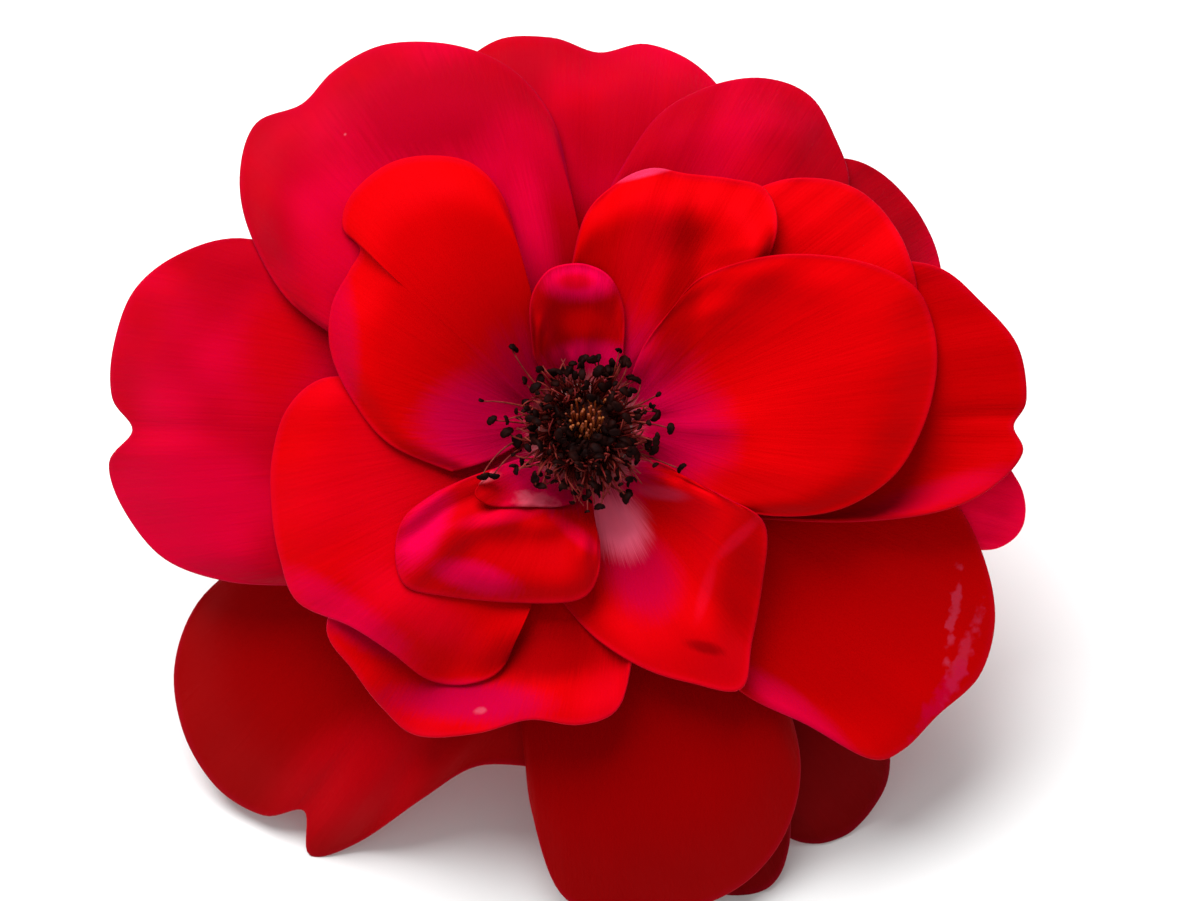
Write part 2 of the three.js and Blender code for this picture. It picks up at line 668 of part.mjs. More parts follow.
// The rounded hip under the flower and the neck on which the sepals and petals are joined
function buildHip() {
  const bulge = new THREE.SplineCurve([
    new THREE.Vector2(STALK_RADIUS + 0.3, HIP_BOTTOM),
    new THREE.Vector2(HIP_RADIUS * 0.8, HIP_BOTTOM + 0.9),
    new THREE.Vector2(HIP_RADIUS, HIP_BOTTOM + 2.6),
    new THREE.Vector2(NECK_RADIUS + 0.3, HIP_BOTTOM + 4.1),
    new THREE.Vector2(NECK_RADIUS, NECK_BOTTOM),
  ]);
  const side = bulge.getPoints(6).map((point) => [point.x, point.y]);
  const neck = [[NECK_RADIUS, NECK_TOP - 0.5], [NECK_RADIUS - 0.5, NECK_TOP], [0, NECK_TOP]];
  return part("hip", turned([[0, HIP_BOTTOM], ...side, ...neck], 18), COLOURS.stalk, 0.6);
}

// The stalk, gently bowed, from just under the hip to its flat cut end
function buildStalk(end) {
  const top = HIP_BOTTOM - CLEARANCE;
  const widths = [
    [STALK_END_RADIUS, 0], [STALK_RADIUS * 1.1, 0.15], [STALK_RADIUS, 0.45], [STALK_RADIUS, 0.8],
    [STALK_RADIUS + 0.3, 1],
  ];
  const side = widths.map(([radius, t]) => [radius, end + (top - end) * t]);
  const geometry = turned([[0, end], ...side, [0, top]], 18);
  const at = geometry.getAttribute("position");
  for (let k = 0; k < at.count; k++) {
    const t = (top - at.getZ(k)) / (top - end);
    at.setX(k, at.getX(k) + STALK_BOW * t * t);
  }
  return part("stalk", geometry, COLOURS.stalk, 0.6);
}

function buildSepals() {
  return [...Array(SEPAL_COUNT).keys()].map((k) => {
    const columns = sepalColumns(FIRST_SEPAL + (360 / SEPAL_COUNT) * k);
    liftClear(columns, PETAL_THICKNESS);
    return part(`sepal_${k + 1}`, bladeGeometry(columns, PETAL_THICKNESS), COLOURS.sepal, 0.7);
  });
}

function buildPetals() {
  return PETALS.map((petal) => {
    const columns = petalColumns(petal);
    liftClear(columns, PETAL_THICKNESS);
    const colour = petal.name.startsWith("petal_back") ? COLOURS.petalShade : COLOURS.petal;
    return part(petal.name, bladeGeometry(columns, PETAL_THICKNESS), colour, 0.6);
  });
}

const bloom = new THREE.Group();
bloom.add(...buildSepals(), ...buildPetals(), buildStamens(), buildStyles(), buildHip());
bloom.rotation.x = radians(LEAN);

// The stalk is cut where it meets the surface that the lowest petals touch
bloom.updateMatrixWorld(true);
const floor = new THREE.Box3().setFromObject(bloom, true).min.z;
const stalkEnd = (floor + STALK_END_RADIUS * Math.sin(radians(LEAN))) / Math.cos(radians(LEAN));
bloom.add(buildStalk(stalkEnd));

// The origin is under the middle of the part, on that surface
bloom.updateMatrixWorld(true);
const extent = new THREE.Box3().setFromObject(bloom, true);
const middle = extent.getCenter(new THREE.Vector3());
bloom.position.set(-middle.x, -middle.y, -extent.min.z);

const rose = new THREE.Group();
rose.add(bloom);

export default rose;
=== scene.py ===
"""A cut bloom of a red floribunda rose, dressed round its fixed frame.

The bloom is shaped in a frame of its own, in millimetres: its axis is +Z, x runs to the right and
y to the upper side of the open flower, and z = 0 is the level where the petals are joined on.
BloomPlace then leans it into the part's own frame, in metres.
"""

import logging
import math
from dataclasses import dataclass, field
from enum import Enum

import bmesh
import bpy
import numpy as np
from mathutils import Matrix, Vector


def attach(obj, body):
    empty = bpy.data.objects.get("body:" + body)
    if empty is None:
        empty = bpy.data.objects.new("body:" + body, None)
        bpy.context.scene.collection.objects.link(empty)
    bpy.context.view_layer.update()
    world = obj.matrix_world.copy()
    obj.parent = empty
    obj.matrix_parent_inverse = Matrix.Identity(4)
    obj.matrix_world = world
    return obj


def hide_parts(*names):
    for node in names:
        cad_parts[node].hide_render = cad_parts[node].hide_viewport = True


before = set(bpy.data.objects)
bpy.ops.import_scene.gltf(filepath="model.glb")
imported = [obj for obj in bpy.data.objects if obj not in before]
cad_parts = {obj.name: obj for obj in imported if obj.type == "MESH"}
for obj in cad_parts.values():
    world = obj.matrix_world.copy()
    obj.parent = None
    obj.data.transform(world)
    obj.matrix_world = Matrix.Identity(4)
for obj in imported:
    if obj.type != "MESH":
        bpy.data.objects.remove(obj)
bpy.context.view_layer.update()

LOG = logging.getLogger("rose")
MM = 0.001
LEAN = math.radians(28)
NECK_RADIUS = 3.8
NECK_TOP = 4.2
CLAW_RADIUS = NECK_RADIUS + 0.38
CLAW_LEVEL = -2.0
CLAW_HALF_ANGLE = 20.0
SIDE_BOW = 0.13
GOLDEN_TURN = 137.5
BODY = "root"

Colour = tuple[float, float, float, float]


class Given(Enum):
    """The numbers that a mesh carries for its shader or its node tree, lengths in millimetres."""

    CLAW = "claw_distance"
    RIM = "rim_distance"
    BACK = "back_face"
    PLACE = "bloom_place"
    THICK = "strand_thickness"
    SHARE = "strand_share"
    TIP_SIZE = "tip_size"
    TIP_TURN = "tip_turn"


class Value:
    """A number or colour in a shader tree, so that maths on it reads as plain Python."""

    def __init__(self, tree: "Tree", socket: bpy.types.NodeSocket) -> None:
        """Wraps one output socket.

        Args:
            tree: the tree that the socket belongs to.
            socket: the output socket.
        """
        self.tree = tree
        self.socket = socket

    def _maths(self, operation: str, first: object, second: object) -> "Value":
        """Adds one Math node.

        Args:
            operation: the Math node's operation.
            first: its first value.
            second: its second value.

        Returns:
            The node's result.
        """
        return self.tree.node("ShaderNodeMath", {"operation": operation}, {0: first, 1: second})

    def __add__(self, other: object) -> "Value":
        """This plus other."""
        return self._maths("ADD", self, other)

    __radd__ = __add__

    def __sub__(self, other: object) -> "Value":
        """This less other."""
        return self._maths("SUBTRACT", self, other)

    def __rsub__(self, other: object) -> "Value":
        """Other less this."""
        return self._maths("SUBTRACT", other, self)

    def __mul__(self, other: object) -> "Value":
        """This times other."""
        return self._maths("MULTIPLY", self, other)

    __rmul__ = __mul__

    def ramp(self, low: float, high: float) -> "Value":
        """A smooth step.

        Args:
            low: the value that gives 0.
            high: the value that gives 1.

        Returns:
            A mask from 0 to 1.
        """
        settings = {"interpolation_type": "SMOOTHSTEP"}
        return self.tree.node("ShaderNodeMapRange", settings, {"Value": self, "From Min": low, "From Max": high})


class Tree:
    """A node tree of either kind, with one short way to add any node."""

    def __init__(self, tree: bpy.types.NodeTree) -> None:
        """Wraps the tree."""
        self.tree = tree

    def node(self, kind: str, settings: dict[str, object], inputs: dict[object, object], out: object = None) -> Value:
        """Adds any node.

        Args:
            kind: the node's type.
            settings: its own properties, set first.
            inputs: a value or a link for each named or numbered socket.
            out: the name of the output wanted, or None for the first that is shown.

        Returns:
            That output.
        """
        made = self.tree.nodes.new(kind)
        for key, value in settings.items():
            setattr(made, key, value)
        shown = [socket for socket in made.inputs if socket.enabled]
        for key, value in inputs.items():
            socket = shown[key] if isinstance(key, int) else next(s for s in shown if s.name == key)
            if isinstance(value, Value):
                self.tree.links.new(value.socket, socket)
            else:
                socket.default_value = value
        outputs = [socket for socket in made.outputs if socket.enabled]
        return Value(self, outputs[0] if out is None else next(s for s in outputs if s.name == out))


class Shader(Tree):
    """One material's node tree, with a Principled BSDF."""

    def __init__(self, name: str) -> None:
        """Makes the material.

        Args:
            name: the material's name.
        """
        self.material = bpy.data.materials.new(name)
        self.material.use_nodes = True
        super().__init__(self.material.node_tree)
        self.bsdf = self.tree.nodes["Principled BSDF"]

    def mix(self, factor: object, first: object, second: object) -> Value:
        """Mixes two colours.

        Args:
            factor: the share of the second, 0 to 1.
            first: a colour or a link.
            second: a colour or a link.

        Returns:
            The mixed colour.
        """
        settings = {"data_type": "RGBA", "clamp_factor": True}
        return self.node("ShaderNodeMix", settings, {"Factor": factor, "A": first, "B": second})

    def layered(self, base: object, layers: list[tuple[Value, Colour]]) -> Value:
        """Lays tones over a base colour, one over another.

        Args:
            base: the colour or link below them all.
            layers: the share, 0 to 1, and the tone of each.

        Returns:
            The colour of them all.
        """
        for share, tone in layers:
            base = self.mix(share, base, tone)
        return base

    def given(self, what: Given, out: str = "Fac") -> Value:
        """The number, or with out="Vector" the vector, that the mesh carries."""
        return self.node("ShaderNodeAttribute", {"attribute_name": what.value}, {}, out)

    def place(self) -> Value:
        """The place in the object's own coordinates, in millimetres."""
        metres = self.node("ShaderNodeTexCoord", {}, {}, "Object")
        return self.stretched(metres, (1000.0, 1000.0, 1000.0))

    def noise(self, vector: Value, scale: float, detail: float = 3.0, roughness: float = 0.5) -> Value:
        """A cloudy noise, 0 to 1.

        Args:
            vector: where it is read.
            scale: how many clouds to a unit.
            detail: its octaves.
            roughness: how strong the fine octaves are.

        Returns:
            The noise.
        """
        inputs = {"Vector": vector, "Scale": scale, "Detail": detail, "Roughness": roughness}
        return self.node("ShaderNodeTexNoise", {}, inputs)

    def stretched(self, vector: Value, scale: tuple[float, float, float]) -> Value:
        """The vector times a scale along each axis."""
        return self.node("ShaderNodeVectorMath", {"operation": "MULTIPLY"}, {0: vector, 1: scale})

    def surface(self, numbers: dict[str, object]) -> None:
        """Sets the shader's own sockets.

        Args:
            numbers: a constant or a link for each socket's name.
        """
        for name, value in numbers.items():
            socket = self.bsdf.inputs[name]
            if isinstance(value, Value):
                self.tree.links.new(value.socket, socket)
            else:
                socket.default_value = value

    def bump(self, height: Value, strength: float, distance: float) -> None:
        """Gives the surface a relief.

        Args:
            height: the relief, 0 to 1.
            strength: how much of it shows.
            distance: its depth in metres.
        """
        inputs = {"Strength": strength, "Distance": distance, "Height": height}
        self.surface({"Normal": self.node("ShaderNodeBump", {}, inputs)})


@dataclass(frozen=True)
class Spot:
    """A soft oval patch of another tone, placed in the bloom's plane, in millimetres and degrees."""

    at: tuple[float, float]
    reach: tuple[float, float]
    tone: Colour
    turn: float = 0.0
    share: float = 0.6
    ragged: float = 0.25

    FULL_WITHIN = 0.35
    GONE_AT = 1.1
    RAGGED_REACH = 4.0

    def mask(self, sh: Shader, place: Value, noise: Value) -> Value:
        """Builds the patch's mask.

        Args:
            sh: the shader.
            place: the place in the bloom's frame.
            noise: what makes the patch ragged, 0 to 1.

        Returns:
            The patch's share, and 0 outside it.
        """
        offset = sh.node("ShaderNodeVectorMath", {"operation": "SUBTRACT"}, {0: place, 1: (*self.at, 0.0)})
        settings = {"rotation_type": "Z_AXIS"}
        inputs = {"Vector": offset, "Angle": -math.radians(self.turn)}
        turned = sh.node("ShaderNodeVectorRotate", settings, inputs)
        scaled = sh.stretched(turned, (1 / self.reach[0], 1 / self.reach[1], 0.0))
        away = sh.node("ShaderNodeVectorMath", {"operation": "LENGTH"}, {0: scaled}, "Value")
        bent = away + (noise - 0.5) * (self.RAGGED_REACH * self.ragged)
        return (1 - bent.ramp(self.FULL_WITHIN, self.GONE_AT)) * self.share


# The pink of painted sheen and painted highlights on rims, folds and crinkles.
PAINTED_SHEEN_PINK: Colour = (0.6, 0.0, 0.055, 1)
WHITISH: Colour = (0.9, 0.4, 0.5, 1)


@dataclass(frozen=True)
class PetalFinish:
    """The velvety skin of a petal: colour, veins, pale claw, a few specks, crimson-pink patches of painted sheen and a
    thin painted highlight along the rim.
    """

    name: str
    red: Colour = (0.54, 0.0, 0.0005, 1)
    deep: Colour = (0.47, 0.0, 0.0, 1)
    # Painted sheen: the crimson-pink of the sky's reflection, laid on in cloudy patches.
    painted_sheen: Colour = (0.52, 0.0, 0.022, 1)
    back: Colour = (0.42, 0.003, 0.04, 1)
    claw: Colour = (0.5, 0.12, 0.14, 1)
    halo: Colour = (0.48, 0.0, 0.055, 1)
    # Painted highlight: the thin pale line along the rim.
    rim: Colour = (0.65, 0.01, 0.08, 1)
    speck: Colour = (0.85, 0.35, 0.45, 1)
    claw_reach: float = 1.0
    halo_reach: float = 9.0
    # How much of the painted sheen shows.
    painted_sheen_share: float = 0.5
    # How much of the painted rim highlight shows.
    rim_highlight_share: float = 0.05
    sheen: float = 0.15
    spots: tuple[Spot, ...] = ()

    SPECK_CELLS = 0.11
    VERY_RAGGED = 0.3

    def material(self) -> bpy.types.Material:
        """Builds the material."""
        sh = Shader(self.name)
        place = sh.place()
        flat = sh.given(Given.PLACE, "Vector")
        uv = sh.node("ShaderNodeUVMap", {"uv_map": "petal"}, {})
        claw = sh.given(Given.CLAW)
        rim = sh.given(Given.RIM)
        back = sh.given(Given.BACK)

        clouds = sh.noise(place, 0.11, 3.0)
        sheen_patches = sh.noise(place, 0.05, 2.0)
        ribs = sh.noise(sh.stretched(uv, (40.0, 1.4, 1.0)), 1.0, 2.0)
        threads = sh.noise(sh.stretched(uv, (150.0, 6.0, 1.0)), 1.0, 3.0, 0.6)
        velvet = sh.noise(place, 5.0, 2.0)
        crumple = sh.noise(place, 0.8, 3.0)

        cells = {"Vector": flat, "Scale": self.SPECK_CELLS}
        away, chosen = (sh.node("ShaderNodeTexVoronoi", {"feature": "F1"}, cells, out) for out in ("Distance", "Color"))
        fine_grain = 0.5 * threads + 0.5 * clouds
        claw_edge, halo_edge = claw + 6.0 * threads - 3.0, claw + 4.0 * ribs - 2.0
        colour = sh.layered(self.red, [
            (clouds.ramp(0.35, 0.75) * 0.5, self.deep),
            # Painted sheen in cloudy patches.
            (sheen_patches.ramp(0.4, 0.62) * self.painted_sheen_share, self.painted_sheen),
            (ribs.ramp(0.5, 0.75) * 0.1, self.deep),
            (threads.ramp(0.55, 0.8) * 0.08, self.deep),
            ((1 - halo_edge.ramp(self.claw_reach, self.halo_reach)) * 0.85, self.halo),
            (1 - claw_edge.ramp(0.5 * self.claw_reach, 1.4 * self.claw_reach), self.claw),
            # Painted highlight along the rim.
            ((1 - rim.ramp(0.05, 0.7)) * self.rim_highlight_share, self.rim),
            (back * 0.8, self.back),
            ((1 - away.ramp(0.012, 0.028)) * chosen.ramp(0.55, 0.6) * 0.6, self.speck),
        ])
        for spot in self.spots:
            grain = crumple if spot.ragged > self.VERY_RAGGED else fine_grain
            colour = sh.mix(spot.mask(sh, flat, grain), colour, spot.tone)

        relief = 0.45 * ribs + 0.25 * threads + 0.05 * velvet + 0.15 * crumple
        sh.bump(relief, 0.35, 0.0004)
        sh.surface({
            "Base Color": colour,
            "Roughness": 0.5 + 0.2 * clouds,
            "Specular IOR Level": 0.05,
            "Specular Tint": (1.0, 0.02, 0.2, 1.0),
            "Sheen Weight": self.sheen,
            "Sheen Roughness": 0.5,
            "Sheen Tint": (1.0, 0.0, 0.3, 1.0),
            "Subsurface Weight": 0.1,
            "Subsurface Radius": (1.0, 0.05, 0.05),
            "Subsurface Scale": 0.0008,
        })
        return sh.material


@dataclass(frozen=True)
class GreenFinish:
    """Sepals, hip and stalk: a waxy green, flushed with red in places."""

    name: str
    green: Colour = (0.09, 0.2, 0.03, 1)
    light: Colour = (0.2, 0.34, 0.09, 1)
    flush: Colour = (0.3, 0.06, 0.03, 1)
    flush_share: float = 0.3
    ribs: float = 26.0
    crown: Colour = (0.12, 0.008, 0.006, 1)
    crown_level: float = 1e3
    crown_fade: float = 1.5

    def material(self) -> bpy.types.Material:
        """Builds the material."""
        sh = Shader(self.name)
        place = sh.place()
        uv = sh.node("ShaderNodeUVMap", {"uv_map": "petal"}, {})
        clouds = sh.noise(place, 0.18, 3.0)
        blotches = sh.noise(place, 0.09, 2.0)
        grain = sh.noise(place, 1.8, 2.0)
        veins = sh.noise(sh.stretched(uv, (self.ribs, 2.0, 1.0)), 1.0, 3.0, 0.6)
        up = sh.node("ShaderNodeSeparateXYZ", {}, {0: sh.given(Given.PLACE, "Vector")}, "Z")
        colour = sh.layered(self.green, [
            (clouds.ramp(0.3, 0.7), self.light),
            (blotches.ramp(0.45, 0.7) * self.flush_share, self.flush),
            (grain.ramp(0.5, 0.75) * 0.2, self.light),
            (veins.ramp(0.5, 0.75) * 0.45, self.light),
            (up.ramp(self.crown_level, self.crown_level + self.crown_fade), self.crown),
        ])
        sh.bump(0.2 * grain + 0.2 * clouds + 0.5 * veins, 0.5, 0.0005)
        sh.surface({
            "Base Color": colour,
            "Roughness": 0.42 + 0.2 * clouds,
            "Specular IOR Level": 0.35,
            "Subsurface Weight": 0.08,
            "Subsurface Radius": (0.3, 0.8, 0.1),
            "Subsurface Scale": 0.0006,
        })
        return sh.material


@dataclass(frozen=True)
class GrainFinish:
    """Small dry parts in two tones, such as anthers, filaments, styles and the stalk's cut face."""

    name: str
    dark: Colour
    light: Colour
    tip: Colour | None = None
    scale: float = 1.2
    light_share: float = 0.6
    roughness: float = 0.5
    gloss: float = 0.3

    def material(self) -> bpy.types.Material:
        """Builds the material."""
        sh = Shader(self.name)
        place = sh.place()
        clouds = sh.noise(place, self.scale, 2.0)
        grain = sh.noise(place, 5.0 * self.scale, 2.0)
        colour = sh.mix(clouds.ramp(0.4, 0.65) * self.light_share, self.dark, self.light)
        if self.tip is not None:
            colour = sh.mix(sh.given(Given.SHARE).ramp(0.2, 0.9), colour, self.tip)
        colour = sh.mix(grain.ramp(0.55, 0.75) * 0.3, colour, self.light)
        sh.bump(0.6 * clouds + 0.4 * grain, 0.6, 0.00012)
        sh.surface({
            "Base Color": colour,
            "Roughness": self.roughness + 0.2 * grain,
            "Specular IOR Level": self.gloss,
        })
        return sh.material


@dataclass
class BloomPlace:
    """Where the bloom's own frame stands in the part's frame, seated on the hip's node."""

    origin: Vector = field(default_factory=Vector)
    turn: Matrix = field(default_factory=Matrix)

    @classmethod
    def from_hip(cls) -> "BloomPlace":
        """Finds the place from the flat top and the middle of the hip's node."""
        turn = Matrix.Rotation(LEAN, 4, "X")
        back = turn.inverted()
        points = np.array([back @ vertex.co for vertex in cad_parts["hip"].data.vertices])
        low, high = points.min(0), points.max(0)
        middle = Vector(((low[0] + high[0]) / 2, (low[1] + high[1]) / 2, high[2] - NECK_TOP * MM))
        return cls(turn @ middle, turn)

    def world(self, points: np.ndarray) -> np.ndarray:
        """Points of the bloom's frame, in millimetres, as points of the part's frame, in metres."""
        turn = np.array(self.turn.to_3x3())
        return points @ turn.T * MM + np.array(self.origin)

    def lowest(self, node: str) -> float:
        """The least height, along the bloom's axis and in millimetres, of a node of the frame."""
        back = self.turn.inverted()
        corners = [back @ (vertex.co - self.origin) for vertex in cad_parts[node].data.vertices]
        return min(corner.z for corner in corners) / MM


class HeightMap:
    """The heights already taken, seen along the bloom's axis, in millimetres."""

    REACH = 50.0
    CELL = 0.25

    def __init__(self) -> None:
        """Starts with nothing taken."""
        self.side = int(2 * self.REACH / self.CELL)
        self.tops = np.full(self.side * self.side, -1e3)

    def _cells(self, x: np.ndarray, y: np.ndarray) -> np.ndarray:
        """The number of the cell that each place lies in."""
        columns = np.clip(((x + self.REACH) / self.CELL).astype(int), 0, self.side - 1)
        rows = np.clip(((y + self.REACH) / self.CELL).astype(int), 0, self.side - 1)
        return rows * self.side + columns

    def taken(self, x: np.ndarray, y: np.ndarray) -> np.ndarray:
        """The height taken at each place."""
        return self.tops[self._cells(x, y)]

    def around(self, x: float, y: float, radius: float) -> float:
        """The greatest height taken within a small distance of one place."""
        steps = np.arange(-radius, radius + self.CELL, self.CELL)
        dx, dy = np.meshgrid(steps, steps)
        return float(self.taken(x + dx, y + dy).max())

    def add(self, x: np.ndarray, y: np.ndarray, z: np.ndarray) -> None:
        """Takes the heights of a dense lattice of points."""
        np.maximum.at(self.tops, self._cells(x, y).ravel(), z.ravel())


def spline_matrix(fine: int, coarse: int) -> np.ndarray:
    """Weights of a cubic B-spline that spread a coarse row of values over a finer one.

    Args:
        fine: how many values come out.
        coarse: how many go in.

    Returns:
        A matrix of fine rows and coarse columns, each row adding up to 1.
    """
    away = np.abs(np.linspace(0, coarse - 1, fine)[:, None] - np.arange(coarse)[None, :])
    near = 2 / 3 - away**2 + away**3 / 2
    far = (2 - np.minimum(away, 2)) ** 3 / 6
    weights = np.where(away < 1, near, far)
    return weights / weights.sum(1, keepdims=True)


def smooth_step(t: np.ndarray, low: float, high: float) -> np.ndarray:
    """0 below low, 1 above high and an S between."""
    t = np.clip((t - low) / (high - low), 0, 1)
    return t * t * (3 - 2 * t)


@dataclass
class Sheet:
    """A thin blade of the plant: a lattice of points with one height over each place."""

    x: np.ndarray
    y: np.ndarray
    z: np.ndarray
    claw: np.ndarray
    rim: np.ndarray
    thickness: np.ndarray

    LIFT_ROUNDS = 30
    LIFT_STEP = 0.5
    LIFT_FADE = 0.93
    SMOOTH_PASSES = 12
    COARSE_STEP = 4
    LEAST_LACK = 0.02
    LEAST_AREA = 1e-6
    STEEPEST = 2.2
    EDGE_BACK_SHARE = 0.12

    def steepness(self) -> np.ndarray:
        """How much longer a step across the sheet is than the same step seen from above."""
        dx_i, dx_j = np.gradient(self.x)
        dy_i, dy_j = np.gradient(self.y)
        dz_i, dz_j = np.gradient(self.z)
        area = dx_i * dy_j - dx_j * dy_i
        area = np.where(np.abs(area) < self.LEAST_AREA, self.LEAST_AREA, area)
        slope_x = (dz_i * dy_j - dz_j * dy_i) / area
        slope_y = (dx_i * dz_j - dx_j * dz_i) / area
        return np.minimum(np.sqrt(1 + slope_x**2 + slope_y**2), self.STEEPEST)

    def settle(self, heights: HeightMap, gap: float) -> None:
        """Lifts the sheet, by a smooth swelling, off what lies under it, and takes its heights.

        Args:
            heights: what has been placed so far.
            gap: the least clearance in millimetres.
        """
        fine_i, fine_j = self.z.shape
        coarse_i = fine_i // self.COARSE_STEP + 1
        coarse_j = fine_j // self.COARSE_STEP + 1
        spread_i = spline_matrix(fine_i, coarse_i)
        spread_j = spline_matrix(fine_j, coarse_j)
        block_i = np.round(np.linspace(0, coarse_i - 1, fine_i)).astype(int)
        block_j = np.round(np.linspace(0, coarse_j - 1, fine_j)).astype(int)
        resting = self.z.copy()
        need = np.zeros((coarse_i, coarse_j))
        lift = need.copy()
        for _ in range(self.LIFT_ROUNDS):
            steep = self.steepness()
            lack = heights.taken(self.x, self.y) + gap * steep - (self.z - self.thickness / 2 * steep)
            if lack.max() < self.LEAST_LACK:
                break
            pooled = np.zeros_like(need)
            np.maximum.at(pooled, (block_i[:, None], block_j[None, :]), lack)
            need = np.where(pooled > 0, np.maximum(need, lift + self.LIFT_STEP * pooled), need)
            lift = need.copy()
            for _ in range(self.SMOOTH_PASSES):
                padded = np.pad(lift, 1, mode="edge")
                rows = padded[:-2] + 2 * padded[1:-1] + padded[2:]
                blurred = (rows[:, :-2] + 2 * rows[:, 1:-1] + rows[:, 2:]) / 16
                lift = np.maximum(need, self.LIFT_FADE * blurred)
            self.z = resting + spread_i @ lift @ spread_j.T
        dense_i = filling_matrix(fine_i)
        dense_j = filling_matrix(fine_j)
        top = self.z + self.thickness / 2 * self.steepness()
        heights.add(*(dense_i @ part @ dense_j.T for part in (self.x, self.y, top)))

    def mesh(self, name: str, place: BloomPlace, edge: float) -> bpy.types.Object:
        """Closes the sheet into a solid blade with a rounded edge.

        Args:
            name: the piece's name.
            place: where the bloom stands.
            edge: how far the rounded edge stands out past the lattice, in millimetres.

        Returns:
            The piece.
        """
        count_i, count_j = self.z.shape
        steep = self.steepness()
        half = self.thickness / 2 * steep
        upper = np.stack([self.x, self.y, self.z + half], 2).reshape(-1, 3)
        lower = np.stack([self.x, self.y, self.z - half], 2).reshape(-1, 3)
        loop = [(i, 0) for i in range(count_i - 1)]
        loop += [(count_i - 1, j) for j in range(count_j - 1)]
        loop += [(i, count_j - 1) for i in range(count_i - 1, 0, -1)]
        loop += [(0, j) for j in range(count_j - 1, 0, -1)]
        ring = np.array([i * count_j + j for i, j in loop])
        flat = (upper + lower)[ring] / 2
        ahead = np.roll(flat, -1, 0) - np.roll(flat, 1, 0)
        outward = np.stack([ahead[:, 1], -ahead[:, 0]], 1)
        outward /= np.linalg.norm(outward, axis=1, keepdims=True) + 1e-9
        centre = flat[:, :2].mean(0)
        if ((flat[:, :2] - centre) * outward).sum() < 0:
            outward = -outward
        at_claw = np.array([j == 0 for _, j in loop])
        flat[:, :2] += outward * np.where(at_claw, 0.0, edge)[:, None]
        local = np.concatenate([upper, lower, flat])
        points = place.world(local)
        total = count_i * count_j
        number = np.arange(total).reshape(count_i, count_j)
        a, b = number[:-1, :-1].ravel(), number[:-1, 1:].ravel()
        c, d = number[1:, 1:].ravel(), number[1:, :-1].ravel()
        top_faces = np.stack([a, b, c, d], 1)
        bottom_faces = np.stack([a, d, c, b], 1) + total
        edge_ring = 2 * total + np.arange(len(ring))
        ring_after, edge_after = np.roll(ring, -1), np.roll(edge_ring, -1)
        upper_band = np.stack([ring, ring_after, edge_after, edge_ring], 1)
        lower_band = np.stack([edge_ring, edge_after, ring_after + total, ring + total], 1)
        faces = np.concatenate([top_faces, bottom_faces, upper_band, lower_band])
        mesh = bpy.data.meshes.new(name)
        mesh.from_pydata(points.tolist(), [], faces.tolist())
        write_attribute(mesh, Given.PLACE, local)
        self._dress(mesh, ring)
        return finished(name, mesh)

    def _dress(self, mesh: bpy.types.Mesh, ring: np.ndarray) -> None:
        """Writes the attributes and the UV map that the finishes read.

        Args:
            mesh: the blade's mesh.
            ring: the lattice's edge, as numbers of its points.
        """
        count_i, count_j = self.z.shape
        edge = np.full(len(ring), self.EDGE_BACK_SHARE)
        back = np.concatenate([np.zeros(self.z.size), np.ones(self.z.size), edge])
        for key, values in ((Given.CLAW, self.claw), (Given.RIM, self.rim)):
            flat = values.ravel()
            write_attribute(mesh, key, np.concatenate([flat, flat, flat[ring]]))
        write_attribute(mesh, Given.BACK, back)
        across, along = np.meshgrid(np.linspace(0, 1, count_i), np.linspace(0, 1, count_j), indexing="ij")
        uv = np.stack([across.ravel(), along.ravel()], 1)
        write_uv(mesh, np.concatenate([uv, uv, uv[ring]]))


def filling_matrix(count: int) -> np.ndarray:
    """Weights that put two more values between each pair of neighbours."""
    places = np.linspace(0, count - 1, 3 * count)[:, None]
    return np.clip(1 - np.abs(places - np.arange(count)[None, :]), 0, 1)


def write_attribute(mesh: bpy.types.Mesh, what: Given, values: np.ndarray) -> None:
    """Stores one number, or one vector, for each vertex."""
    kind, key = ("FLOAT", "value") if values.ndim == 1 else ("FLOAT_VECTOR", "vector")
    attribute = mesh.attributes.new(what.value, kind, "POINT")
    attribute.data.foreach_set(key, values.astype(np.float32).ravel())


def write_uv(mesh: bpy.types.Mesh, uv: np.ndarray) -> None:
    """Stores one UV place for each vertex."""
    layer = mesh.uv_layers.new(name="petal")
    corners = np.zeros(len(mesh.loops), int)
    mesh.loops.foreach_get("vertex_index", corners)
    layer.data.foreach_set("uv", uv[corners].astype(np.float32).ravel())


def ring_faces(rings: int, sides: int, start: int = 0) -> list[tuple[int, ...]]:
    """The faces of a tube whose rings of points follow one another.

    Args:
        rings: how many rings there are.
        sides: how many points each of them has.
        start: the number of the first point.

    Returns:
        The numbers of each face's four points.
    """
    faces = []
    for low in range(start, start + (rings - 1) * sides, sides):
        for n in range(sides):
            after = (n + 1) % sides
            faces.append((low + n, low + after, low + sides + after, low + sides + n))
    return faces


def linked(name: str, data: bpy.types.ID) -> bpy.types.Object:
    """A new object of the scene that holds this data."""
    made = bpy.data.objects.new(name, data)
    bpy.context.scene.collection.objects.link(made)
    return made


def finished(name: str, mesh: bpy.types.Mesh) -> bpy.types.Object:
    """Links a mesh as a smooth piece, turned to face outwards.

    Args:
        name: the piece's name.
        mesh: its mesh, in the part's frame.

    Returns:
        The piece.
    """
    mesh.validate()
    work = bmesh.new()
    work.from_mesh(mesh)
    if work.calc_volume(signed=True) < 0:
        bmesh.ops.reverse_faces(work, faces=work.faces)
    for face in work.faces:
        face.smooth = True
    work.to_mesh(mesh)
    work.free()
    return linked(name, mesh)


